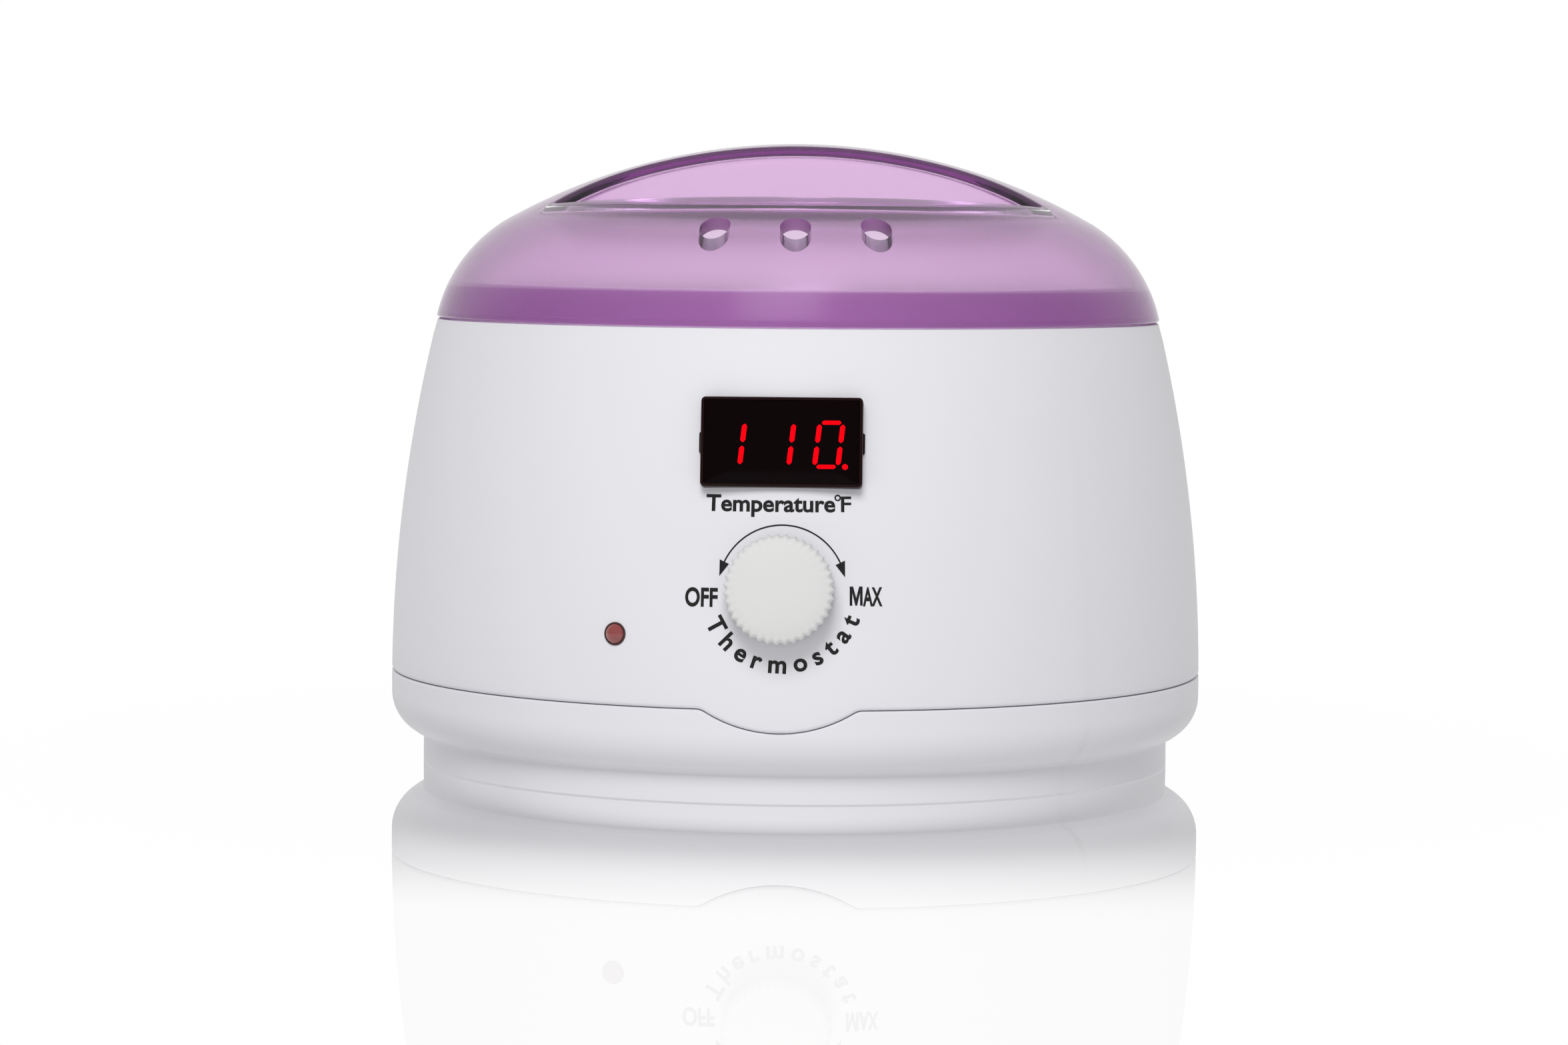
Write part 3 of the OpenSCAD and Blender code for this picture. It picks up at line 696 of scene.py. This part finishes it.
def floorHoles():
    # a ring of air slots, the wells of the long screws and the holes of the short ones
    long, wide = base["slot"]
    bar = roundedBox(long, wide, wide * 0.45, 4) + (base["slotStart"] + long / 2, 0)
    holes = [turned(bar, (k + 0.5) * 360 / base["slots"]) for k in range(base["slots"])]
    for radius, ring, bearings in (base["wells"], base["screws"]):
        holes += [turned(circle(radius, 32) + (ring, 0), bearing) for bearing in bearings]
    return slabs("cutFloor", holes, base["plate"] - 1, base["plate"] + 6)


bowl = makeBase()
carve(bowl, floorHoles())
carve(bowl, slabs("cutGland", [circle(base["glandHole"])], 74, 95,
                  lambda grid: grid[..., [0, 2, 1]] + (0, 0, base["glandHeight"])))
place(bowl, "heater", "base_plastic", ["base_bowl"])

# ---- the lid ----

lid = {
    "top": 133.4,
    "dome": 127.5,
    "shoulder": 32.0,
    "radius": 78.8,
    "turn": 1.5,
    "edge": 95.7,
    "edgeRound": 0.5,
    "wall": 2.2,
    "lipRadius": 59.5,
    "lipCentre": 6.8,
    "ridgeHalf": 14.0,
    "endRadius": 27.8,
    "endCentre": 31.0,
    "tipRadius": 1.8,
    "floor": 118.0,
    "lipRound": 0.35,
    "ridgeRound": 1.2,
    "floorRound": 1.6,
    "vent": 6.3,
    "ventRing": 64.8,
    "ventStep": 14.6,
    "frostOut": 0.2,
    "frostIn": 1.0,
}


def domeParts(inset):
    # the dome's ball and the shoulder's ring, drawn in by an inset: radii, centres and where they meet
    centre = lid["top"] - lid["dome"]
    ring = lid["radius"] - lid["shoulder"]
    rise = math.sqrt((lid["dome"] - lid["shoulder"]) ** 2 - ring ** 2)
    return lid["dome"] - inset, lid["shoulder"] - inset, centre, ring, centre + rise, math.atan2(ring, rise)


def domeAt(along, inset):
    # radius and height at a length along the section from the top: over the ball, then the shoulder
    ball, shoulder, centre, ring, rise, meet = domeParts(inset)
    first = np.minimum(along / ball, meet)
    second = meet + np.clip(along - ball * meet, 0, None) / shoulder
    onBall = along < ball * meet
    return (np.where(onBall, ball * np.sin(first), ring + shoulder * np.sin(second)),
            np.where(onBall, centre + ball * np.cos(first), rise + shoulder * np.cos(second)))


def domeLength(inset, height):
    # length along the section from the top down to a height on the shoulder
    ball, shoulder, centre, ring, rise, meet = domeParts(inset)
    return ball * meet + shoulder * (math.acos((height - rise) / shoulder) - meet)


def pocketOutline(grow):
    # points round a pocket, and which way is out of it: lip, pointed end, turned-back face and straight face,
    # each an arc about its own centre; growing moves every point straight out
    tip = lid["tipRadius"]
    reachLip, reachEnd = lid["lipRadius"] - tip, lid["endRadius"] - tip
    a = np.array([0.0, lid["lipCentre"]])
    b = np.array([lid["endCentre"], -lid["ridgeHalf"] - lid["endRadius"]])
    gap = b - a
    far = np.linalg.norm(gap)
    step = (reachLip ** 2 - reachEnd ** 2 + far ** 2) / (2 * far)
    side = math.sqrt(reachLip ** 2 - step ** 2)
    point = a + gap / far * step + np.array([-gap[1], gap[0]]) / far * side
    toLip = math.atan2(*(point - a)[::-1])
    toEnd = math.atan2(*(point - b)[::-1])
    arcs = [(a, lid["lipRadius"], -quarter, toLip, 62), (point, tip, toLip, toEnd, 14),
            (b, lid["endRadius"], toEnd, quarter, 26), (b, lid["endRadius"], quarter, quarter, 17)]
    rows = [np.stack([np.full(count, centre[0]), np.full(count, centre[1]), np.full(count, radius),
                      np.linspace(start, end, count, endpoint=False)], -1)
            for centre, radius, start, end, count in arcs]
    rows[-1][:, 0] = np.linspace(lid["endCentre"], 0, 17)
    rows = np.concatenate(rows)
    out = np.stack([np.cos(rows[:, 3]), np.sin(rows[:, 3])], -1)
    half = rows[:, :2] + (rows[:, 2:3] + grow) * out
    mirror = np.array([-1.0, 1.0])
    return np.concatenate([half, half[-2:0:-1] * mirror]), np.concatenate([out, out[-2:0:-1] * mirror])


def domeHeight(flat, inset):
    # height of the dome's ball over plan points, which all lie inside the shoulder
    return lid["top"] - lid["dome"] + np.sqrt((lid["dome"] - inset) ** 2 - (flat ** 2).sum(-1))


def unrolled(flat, inset):
    # plan points pushed out so that their distance from the axis is the length along the dome
    ball = lid["dome"] - inset
    radius = np.linalg.norm(flat, axis=-1, keepdims=True)
    return flat * np.where(radius > 1e-9, ball * np.arcsin(radius / ball) / np.maximum(radius, 1e-9), 1)


def lidHalf(inset, grow, floor, rimRound, floorRound, ends=None):
    # The skin of the front half. Rows go from the pocket's middle over its floor, up its wall, round its
    # rim, and then straight over the unrolled dome to the ridge's middle line or the lid's edge.
    line, out = pocketOutline(grow)
    middle = np.array([0.0, -36.0])
    rows = []
    flat = line - out * floorRound
    for share in np.linspace(0, 1, 11):
        rows.append(raised(middle + (flat - middle) * share, floor))
    for turn in np.linspace(0, quarter, 7)[1:]:
        rows.append(raised(line - out * floorRound * (1 - math.sin(turn)),
                           floor + floorRound * (1 - math.cos(turn))))
    step = 0.02
    slope = ((domeHeight(line + out * step, inset) - domeHeight(line, inset)) / step)[:, None]
    length = np.sqrt(1 + slope ** 2)
    heightAtLine = domeHeight(line, inset)[:, None]
    centreHeight = heightAtLine + slope * rimRound - rimRound * length
    low = floor + floorRound
    for share in np.linspace(0, 1, 7)[1:]:
        rows.append(raised(line, low * (1 - share) + centreHeight * share))
    last = quarter + np.arctan(slope)
    for share in np.linspace(0, 1, 9)[1:]:
        angle = math.pi + (last - math.pi) * share
        away = rimRound + rimRound * np.cos(angle)
        spot = line + out * away
        fix = domeHeight(spot, inset)[:, None] - (heightAtLine + slope * away)
        rows.append(raised(spot, centreHeight + rimRound * np.sin(angle) + fix))
    reach = domeLength(inset, lid["edge"] + lid["edgeRound"])
    start = unrolled(rows[-1][:, :2], inset)
    hub = unrolled(middle[None], inset)[0]
    if ends is None:
        aim = start - hub
        aim = aim / np.linalg.norm(aim, axis=1, keepdims=True)
        along = aim @ hub
        toEdge = -along + np.sqrt(along ** 2 + reach ** 2 - hub @ hub)
        toLine = np.where(aim[:, 1] > 1e-6, -hub[1] / np.maximum(aim[:, 1], 1e-6), 1e9)
        ends = (hub + aim * np.minimum(toEdge, toLine)[:, None]) / reach
        ends[:, 1] = np.where(toLine < toEdge, 0, ends[:, 1])
        for corner in ((1.0, 0.0), (-1.0, 0.0)):
            ends[np.argmin(((ends - corner) ** 2).sum(1))] = corner
    end = ends * reach
    for share in np.linspace(0, 1, 31)[1:]:
        spot = start * (1 - share) + end * share
        span = np.linalg.norm(spot, axis=1)
        radius, height = domeAt(span, inset)
        rows.append(raised(spot * (radius / np.maximum(span, 1e-9))[:, None], height[:, None]))
    return np.stack(rows), ends


def makeLid():
    # both skins of each half, and the rounded edge that joins them at the same turns
    out = pocketOutline(0)[1][:, 1:]
    ridge = np.clip((out + 0.2) / 1.0, 0, 1)
    rimRound = lid["lipRound"] + (lid["ridgeRound"] - lid["lipRound"]) * ridge * ridge * (3 - 2 * ridge)
    outer, ends = lidHalf(0, 0, lid["floor"], rimRound, lid["floorRound"])
    inner, ends = lidHalf(lid["wall"], lid["wall"], lid["floor"] - lid["wall"], 0.5,
                          lid["floorRound"] + lid["wall"], ends)
    brim = lid["edge"] + lid["edgeRound"]
    outR = float(domeAt(domeLength(0, brim), 0)[0])
    inR = float(domeAt(domeLength(lid["wall"], brim), lid["wall"])[0])
    profile = rounded([(outR, brim, 0), (outR + 0.04, lid["edge"], 0.45), (inR, lid["edge"], 0.3),
                       (inR, brim, 0)], steps=5)
    rim = ends[np.linalg.norm(ends, axis=1) > 0.99999]
    rim = rim[np.argsort(rim[:, 0])]
    flat = profile[:, None, :1] * rim
    edge = np.stack([raised(*row) for row in zip(flat, profile[:, 1])])
    patches = []
    for flip in (np.array([1, 1, 1]), np.array([1, -1, 1])):
        patches += [(outer * flip, False, True), (inner * flip, False, True), (edge * flip, False, False)]
    return sewn("tintedLid", [(turned(grid, lid["turn"]), *closed) for grid, *closed in patches], 40)


def frostDome(piece):
    # the frost of each face: most on the dome's inner skin, some on its outer skin, none in the pockets and
    # the vents; a face is on a skin when its points are as far from the ball's centre or the shoulder's ring
    mesh = piece.data
    x, y, z = values(mesh.vertices, "co", 3).T / mm
    corners = values(mesh.loops, "vertex_index", 1, np.int32)
    starts = values(mesh.polygons, "loop_start", 1, np.int32)
    frost = np.zeros(len(starts))
    for inset, amount in ((0, lid["frostOut"]), (lid["wall"], lid["frostIn"])):
        ball, shoulder, centre, ring, rise, meet = domeParts(inset)
        radius = np.hypot(x, y)
        off = np.where(radius < ball * math.sin(meet), np.hypot(radius, z - centre) - ball,
                       np.hypot(radius - ring, z - rise) - shoulder)
        onSkin = np.minimum.reduceat(np.abs(off)[corners] < 0.06, starts)
        frost = np.where(onSkin, amount, frost)
    mesh.attributes.new("frost", "FLOAT", "FACE").data.foreach_set("value", frost)


tinted = makeLid()
vents = [turned(circle(lid["vent"] / 2, 64) + (0, -lid["ventRing"]), lid["turn"] + k * lid["ventStep"])
         for k in (-1, 0, 1)]
carve(tinted, slabs("cutVents", vents, 100, 130), 40)
frostDome(tinted)
place(tinted, "lid", "lid_plastic", ["lid"])

# ---- the knob ----

knob = {
    "radius": 11.0,
    "teeth": 39,
    "depth": 0.55,
    "gap": 1.0,
    "height": 7.6,
    "crown": 40.0,
    "round": 1.3,
    "bore": (2.5, 7.0),
    "hollow": (7.2, 3.4),
    "biteStart": 8.6,
}


def aboutNormal(radius, out, turns):
    # each (radius, height off the wall) goes round the wall's own normal
    radius, out = np.broadcast_arrays(radius, out, turns)[:2]
    return np.stack([radius * np.cos(turns), radius * np.sin(turns), out], -1)


def makeKnob():
    # a profile turned round the knob's axis; teeth bite into the skirt and fade out over the front edge
    top, radius = knob["gap"] + knob["height"], knob["radius"]
    crownDrop = radius ** 2 / 2 / knob["crown"]
    bore, boreTop = knob["bore"]
    hollow, hollowTop = knob["hollow"]
    path = rounded([(0, boreTop, 0), (bore, boreTop, 0), (bore, hollowTop, 0.2), (hollow, hollowTop, 0.3),
                    (hollow, knob["gap"], 0.2), (radius, knob["gap"], 0.25),
                    (radius, top - crownDrop, knob["round"]),
                    (radius * 0.75, top - crownDrop * 0.5625, 0)], steps=7)
    face = np.linspace(0.72, 0, 14)[:, None] * radius
    path = np.concatenate([path, raised(face, top - face ** 2 / 2 / knob["crown"])])
    bite = np.clip((path[:, 0] - knob["biteStart"]) / 1.9, 0, 1) ** 1.5
    bite = np.where(path[:, 1] < knob["gap"] + 0.05, np.clip((path[:, 0] - 9.5) / 1.0, 0, 1), bite)
    turns = fullTurn(knob["teeth"] * 10)
    wave = np.abs((turns * knob["teeth"] / (2 * math.pi)) % 1 - 0.5) * 2
    wave = 1 - wave ** 1.3
    radius = path[:, :1] - knob["depth"] * bite[:, None] * wave
    grid = aboutNormal(radius, path[:, 1:], turns)
    return sewn("dialKnob", [(atWall(grid, 0, wall["knobHeight"]), False, True)], 50)


place(makeKnob(), "knob", "knob_plastic", ["control_knob"])

# ---- display frame ----


def makeDisplayFrame():
    # rounded rectangles, one inside another, carried out to the face and back in to the window's seat;
    # the back follows the wall
    face, edge, depth, seat = display["face"], display["edge"], -display["depth"], display["recess"]
    front = [(edge * (1 - math.sin(t)), face - edge * (1 - math.cos(t))) for t in np.linspace(quarter, 0, 6)]
    steps = ([(1.0, depth), (1.0, None), (0.0, None)] + front
             + [(display["rim"], face), (display["rim"] + 0.04, face - seat),
                (display["inner"], face - seat), (display["inner"], depth)])
    rows = []
    for inset, out in steps:
        flat = roundedBox(display["width"] - 2 * inset, display["tall"] - 2 * inset,
                          max(display["corner"] - inset, 0.12))
        sink = -flat[:, :1] ** 2 / 2 / 82.7 - flat[:, 1:] ** 2 / 2 / wall["bow"]
        rows.append(raised(flat, sink + 0.02 if out is None else out))
    return sewn("displayFrame", [(atWall(np.stack(rows), 0, display["height"]), True, True)])


place(makeDisplayFrame(), "heater", "display_plastic", ["display_bezel"])

figures = {
    "window": 0.12,
    "across": -0.365,
    "middle": -0.5,
    "pitch": 9.75,
    "half": 2.315,
    "rise": 4.41,
    "upright": 1.0,
    "level": 0.82,
    "gap": 0.4,
    "lean": 6.3,
    "dot": 0.58,
    "dotAway": 0.95,
}


def makeWindow():
    # a slab with its edge eased, a hair behind the frame's face
    face, edge = display["face"] - figures["window"], 0.15
    rows = []
    for inset, out in ((0, face - 1.4), (0, face - edge), (edge * 0.3, face - edge * 0.3), (edge, face)):
        size = 2 * display["rim"] + 2 * inset
        flat = roundedBox(display["width"] - size, display["tall"] - size, 0.3)
        rows.append(raised(flat, out))
    rows = [rows[0] * (0, 0, 1)] + rows + [rows[-1] * (0, 0, 1)]
    return sewn("displayWindow", [(atWall(np.stack(rows), 0, display["height"]), False, True)])


def bar(ends, width):
    # a bar between two points whose ends run out to blunt points, leaned with the digit
    a, b = (np.array(end, float) for end in ends)
    along = (b - a) / np.linalg.norm(b - a)
    across = np.array([-along[1], along[0]]) * width / 2
    a, b = a + along * figures["gap"], b - along * figures["gap"]
    tip = along * width * 0.4
    points = [a + across * 0.25, a + tip + across, b - tip + across, b + across * 0.25,
              b - across * 0.25, b - tip - across, a + tip - across, a - across * 0.25]
    return np.array(points)


def makeFigures():
    # the lit bars of three digits and a point, as one thin raised piece
    half, rise = figures["half"], figures["rise"]
    upright = [[(half, rise), (half, 0)], [(half, 0), (half, -rise)]]
    left = [[(-x, y) for x, y in ends] for ends in upright]
    level = [[(-half, y), (half, y)] for y in (rise, -rise)]
    lit = [(-figures["pitch"], upright, []), (0, upright, []), (figures["pitch"], upright + left, level)]
    outlines = []
    for middle, tall, wide in lit:
        for width, bars in ((figures["upright"], tall), (figures["level"], wide)):
            for ends in bars:
                flat = bar(ends, width)
                flat[:, 0] += flat[:, 1] * math.tan(math.radians(figures["lean"])) + middle
                outlines.append(flat)
    outlines.append(circle(figures["dot"], 20) + (figures["pitch"] + half + figures["dotAway"], -rise))
    outlines = [flat + (figures["across"], figures["middle"]) for flat in outlines]
    face = display["face"] - figures["window"]
    return slabs("litFigures", outlines, face - 0.05, face + 0.03,
                 lambda grid: atWall(grid, 0, display["height"]))


reach, tall = display["catch"]
catches = prism("displayCatches", roundedBox(display["width"] + reach, tall, 0.35), -4, -0.8, 0,
                display["height"])
place(catches, "heater", "display_plastic")
place(makeWindow(), "heater", "display_filter", ["display_window"])
place(makeFigures(), "heater", "digit_light", ["digit_segments"])

# ---- pilot lamp ----


def lampPart(name, profile, closed):
    # a profile turned round the lamp's axis
    grid = aboutNormal(profile[:, :1], profile[:, 1:], fullTurn(48))
    return sewn(name, [(atWall(grid, lamp["bearing"], lamp["height"]), closed, True)], 40)


ball, lens, bezel, inside = lamp["ball"], lamp["lens"], lamp["radius"], lamp["inside"]
cap = np.linspace(math.asin(lens / ball), 0, 10)[:, None]
lensPath = np.concatenate([rounded([(0, -4, 0), (lens, -4, 0.3), (lens, 0.2, 0)]),
                           raised(ball * np.sin(cap), ball * np.cos(cap) - lamp["sink"])])
place(lampPart("pilotLens", lensPath, False), "heater", "lamp_lens", ["indicator_lens"])
ringPath = rounded([(inside, -3.4, 0.1), (bezel, -3.4, 0.1), (bezel, 0.3, 0.15), (inside, 0.3, 0.1)], True, 4)
place(lampPart("pilotRing", ringPath, True), "heater", "lamp_ring", ["indicator_ring"])

# ---- pan ----

pan = {
    "floor": 41.7,
    "floorRadius": 56.0,
    "mouthRadius": 59.5,
    "rimTop": 98.5,
    "rimRadius": 69.4,
    "sheet": 1.2,
    "floorRound": 5.0,
    "mouthRound": 1.4,
}


def makePan():
    # one sheet: floor, rounded corner, flared side and a flat rim, outside first and then the inside
    low, sheet, top = pan["floor"], pan["sheet"], pan["rimTop"]
    path = rounded([(0, low - sheet, 0), (pan["floorRadius"] + sheet, low - sheet, pan["floorRound"] + sheet),
                    (pan["mouthRadius"] + sheet, top - sheet, 0.4), (pan["rimRadius"], top - sheet, 0.55),
                    (pan["rimRadius"], top, 0.55), (pan["mouthRadius"], top, pan["mouthRound"]),
                    (pan["floorRadius"], low, pan["floorRound"]), (0, low, 0)], steps=8)
    return lathed("waxPan", [(path[:, :1], path[:, 1:])], fullTurn(200), False)


place(makePan(), "pan", "pan_aluminium", ["wax_pan"])

# ---- printed marks ----

marks = {
    "lift": 0.02,
    "ink": 0.03,
    # piece, words, left and right end, height of the baseline, height of a capital, weight
    "words": [
        ("markScale", "Temperature", (-15.0, 10.8), 59.35, 3.35, 0.026),
        ("markUnit", "F", (11.95, 14.0), 59.35, 3.1, 0.015),
        ("markOff", "OFF", (-19.1, -12.45), 40.4, 3.8, 0.03),
        ("markMax1", "M", (13.9, 16.5), 40.8, 3.8, 0),
        ("markMax2", "AX", (16.55, 20.5), 40.8, 3.8, 0.03),
    ],
    # x and y of the middle, radius, line, height of the baseline
    "degree": (11.3, 2.75, 0.5, 0.3, 59.35),
    # word, height of a capital, radius, first and last bearing, weight
    "curve": ("Thermostat", 3.7, 16.55, 209.5, 336.0, 0.026),
    "arrowRadius": 12.8,
    "arrowLine": 0.3,
    "arrowEnds": (11.5, 168.5),
    "headLength": 3.0,
    "headWidth": 2.1,
    "shift": 0.38,
}


def blockM():
    # two uprights and a pointed valley between them, as one closed outline, 1 high
    flat = np.array([(0, 0), (0, 1), (0.24, 1), (0.45, 0.4), (0.66, 1), (0.9, 1), (0.9, 0), (0.72, 0),
                     (0.72, 0.66), (0.51, 0), (0.39, 0), (0.18, 0.66), (0.18, 0)])
    count = len(flat)
    points = np.array([(x, y, z) for z in (-0.5, 0.5) for x, y in flat])
    mesh = bpy.data.meshes.new("type")
    mesh.from_pydata(points.tolist(), [], [list(range(count)), list(range(count, 2 * count))]
                     + gridFaces(2, count, False, True).tolist())
    return mesh, points


def outlineOf(words, bold):
    # a line of type as a thick mesh, and its points
    data = bpy.data.curves.new("type", "FONT")
    data.body = words
    data.extrude = 0.5
    data.offset = bold
    data.resolution_u = 6
    source = bpy.data.objects.new("type", data)
    bpy.context.scene.collection.objects.link(source)
    made = bpy.data.meshes.new_from_object(source.evaluated_get(bpy.context.evaluated_depsgraph_get()))
    bpy.data.objects.remove(source)
    return made, values(made.vertices, "co", 3)


def letters(words, bold=0.0):
    # a line of type scaled so that a capital is 1 high; the built-in M fills in when it is made bolder
    if words == "M":
        return blockM()
    mesh, points = outlineOf(words, bold)
    tall = np.ptp(outlineOf("H", bold)[1][:, 1])
    return mesh, points / (tall, tall, 1)


def inkPiece(name, mesh, points):
    mesh.vertices.foreach_set("co", (points * mm).ravel())
    return place(joined(name, mesh, 1e-8), "heater", None, finish="print_ink")


def straightWord(name, words, left, right, bottom, cap, bold=0.0):
    # a word stretched to its width and cap height and laid on the wall over its baseline
    mesh, points = letters(words, bold)
    x = (points[:, 0] - points[:, 0].min()) / np.ptp(points[:, 0])
    flat = np.stack([left + x * (right - left), points[:, 1] * cap,
                     marks["lift"] + marks["ink"] * (points[:, 2] > 0)], -1)
    return inkPiece(name, mesh, wrapped(flat, 0, bottom))


def curvedWord(name, words, cap, radius, start, end, bold=0.0):
    # each letter stands on an arc under the knob, its top towards the knob; gaps between letters are equal
    glyphs = [letters(one, bold) for one in words]
    widths = [np.ptp(points[:, 0]) * cap for mesh, points in glyphs]
    sweep = math.radians(end - start) * (radius - cap / 2)
    gap = (sweep - sum(widths) + (widths[0] + widths[-1]) / 2) / (len(words) - 1)
    travel = 0
    for index, (mesh, points) in enumerate(glyphs):
        if index:
            travel += widths[index - 1] / 2 + gap + widths[index] / 2
        angle = math.radians(start) + travel / (radius - cap / 2)
        x = (points[:, 0] - (points[:, 0].min() + points[:, 0].max()) / 2) * cap
        reach = radius - points[:, 1] * cap
        spot = np.stack([reach * math.cos(angle) - x * math.sin(angle) + marks["shift"],
                         reach * math.sin(angle) + x * math.cos(angle),
                         marks["lift"] + marks["ink"] * (points[:, 2] > 0)], -1)
        inkPiece(f"{name}{index + 1}", mesh, wrapped(spot, 0, wall["knobHeight"]))


def arrow(name):
    # a band along an arc over the knob, with a wide head that narrows to a point at each end
    first, last = (math.radians(end) for end in marks["arrowEnds"])
    head = marks["headLength"] / marks["arrowRadius"]
    line, wide = marks["arrowLine"] / 2, marks["headWidth"] / 2
    turn = np.concatenate([[first, first, first + head, first + head * 0.85],
                           np.linspace(first + head * 0.85, last - head * 0.85, 60)[1:-1],
                           [last - head * 0.85, last - head, last, last]])[:, None]
    half = np.concatenate([[0, 0.02, wide], np.full(60, line), [wide, 0.02, 0]])[:, None]
    radius = marks["arrowRadius"] + half * (1, 1, -1, -1)
    out = marks["lift"] + marks["ink"] * np.array([0, 1, 1, 0])
    grid = np.stack([radius * np.cos(turn) + marks["shift"], radius * np.sin(turn),
                     np.broadcast_to(out, radius.shape)], -1)
    grid[[0, -1], :, 2] = marks["lift"] + marks["ink"] / 2
    piece = sewn(name, [(wrapped(grid, 0, wall["knobHeight"]), False, True)])
    return place(piece, "heater", None, finish="print_ink")


def ringMark(name, x, y, radius, line, bottom):
    # a flat ring, such as a degree sign
    turn = fullTurn(32)
    reach = radius + np.array([[-line / 2], [line / 2], [line / 2], [-line / 2]])
    out = marks["lift"] + marks["ink"] * np.array([[0], [0], [1], [1]])
    grid = np.stack([x + reach * np.cos(turn), y + reach * np.sin(turn), np.broadcast_to(out, (4, 32))], -1)
    return place(sewn(name, [(wrapped(grid, 0, bottom), True, True)]), "heater", None, finish="print_ink")


for name, words, ends, bottom, tall, bold in marks["words"]:
    straightWord(name, words, *ends, bottom, tall, bold)
ringMark("markDegree", *marks["degree"])
curvedWord("markDial", *marks["curve"])
arrow("markArrow")

# ---- studio ----

studio = {
    "ambient": 0.365,
    "backdrop": 0.55,
    "gleam": 0.15,
    "lobe": 0.16,
    "lobeWay": (0.0, -0.99, 0.14),
    "lobeSpread": 2.0,
    "leftward": 0.04,
    "sides": 0.1,
    "keyPlace": (-0.07, -1.0, 0.86),
    "keyAim": (0.0, 0.0, 0.06),
    "keySize": 0.5,
    "keyPower": 8.4,
    "floorBounce": 0.78,
    "mirrorNear": 125.0,
    "mirrorFar": 232.0,
    "mirrorLeast": 0.1,
    "mirrorMost": 0.96,
}


def makeWorld():
    # a white tent: even light, more from high in front, less from the sides, and a white sheet behind;
    # the camera, clear plastic and the table's mirror see plain white
    world = bpy.data.worlds.new("tent")
    world.use_nodes = True
    tree = world.node_tree
    tree.nodes.clear()
    way = Shade(tree, None).node("ShaderNodeTexCoord", output="Generated")
    x, y, z = way.parts()
    lx, ly, lz = studio["lobeWay"]
    facing = way.maths("MAXIMUM", x * lx + y * ly + z * lz, 0.0)
    even = 1 - x * studio["leftward"] - x * x * studio["sides"]
    tent = even * studio["ambient"] + facing ** studio["lobeSpread"] * studio["lobe"]
    path = tree.nodes.new("ShaderNodeLightPath")
    glossy = Shade(tree, path.outputs["Is Glossy Ray"])
    sheet = y.between(0.0, 0.6) * (studio["backdrop"] + glossy * studio["gleam"])
    tent = tent * (1 - sheet) + sheet
    seen = way.maths("MAXIMUM", Shade(tree, path.outputs["Is Camera Ray"]),
                     Shade(tree, path.outputs["Is Transmission Ray"]))
    seen = way.maths("MAXIMUM", seen, Shade(tree, path.outputs["Is Singular Ray"]))
    strength = tent * (1 - seen) + seen
    light = way.node("ShaderNodeBackground", {}, {"Color": (1, 1, 1, 1), "Strength": strength})
    tree.nodes.new("ShaderNodeOutputWorld")
    tree.links.new(light.socket, tree.nodes[-1].inputs["Surface"])
    bpy.context.scene.world = world


def makeKey():
    # a softbox high in front, turned to the pot
    data = bpy.data.lights.new("softbox", "AREA")
    data.size = studio["keySize"]
    data.energy = studio["keyPower"]
    made = bpy.data.objects.new("softbox", data)
    way = Vector(studio["keyAim"]) - Vector(studio["keyPlace"])
    heading = way.to_track_quat("-Z", "Y").to_matrix().to_4x4()
    made.matrix_world = Matrix.Translation(studio["keyPlace"]) @ heading
    made.visible_glossy = False
    bpy.context.scene.collection.objects.link(made)


def makeFloor():
    # a lit white table that mirrors the pot where it is near and fades to plain white; what it throws
    # back on matt surfaces is less than what the camera sees
    size = 6000
    grid = np.array([[[-size, -size, 0], [size, -size, 0]], [[-size, size, 0], [size, size, 0]]], float)
    piece = sewn("table", [(grid, False, False)])
    made, place = newFinish("tableTop")
    x, y, z = place.parts()
    reach = (x * x + y * y) ** 0.5
    fade = 1 - reach.between(studio["mirrorNear"] * mm, studio["mirrorFar"] * mm)
    share = fade * (studio["mirrorMost"] - studio["mirrorLeast"]) + studio["mirrorLeast"]
    matt = place.node("ShaderNodeLightPath", output="Is Diffuse Ray")
    share = share * (1 - matt)
    glow = place.node("ShaderNodeEmission", {}, {"Color": (1, 1, 1, 1),
                                                 "Strength": 1 - matt * (1 - studio["floorBounce"])})
    mirror = place.node("ShaderNodeBsdfGlossy", {}, {"Color": (0.99, 0.99, 0.99, 1), "Roughness": 0.0})
    mixed = place.node("ShaderNodeMixShader", {}, {0: share, 1: glow, 2: mirror})
    place.tree.nodes.new("ShaderNodeOutputMaterial")
    place.tree.links.new(mixed.socket, place.tree.nodes[-1].inputs["Surface"])
    piece.data.materials.append(made)


makeWorld()
makeKey()
makeFloor()
print("studio set")
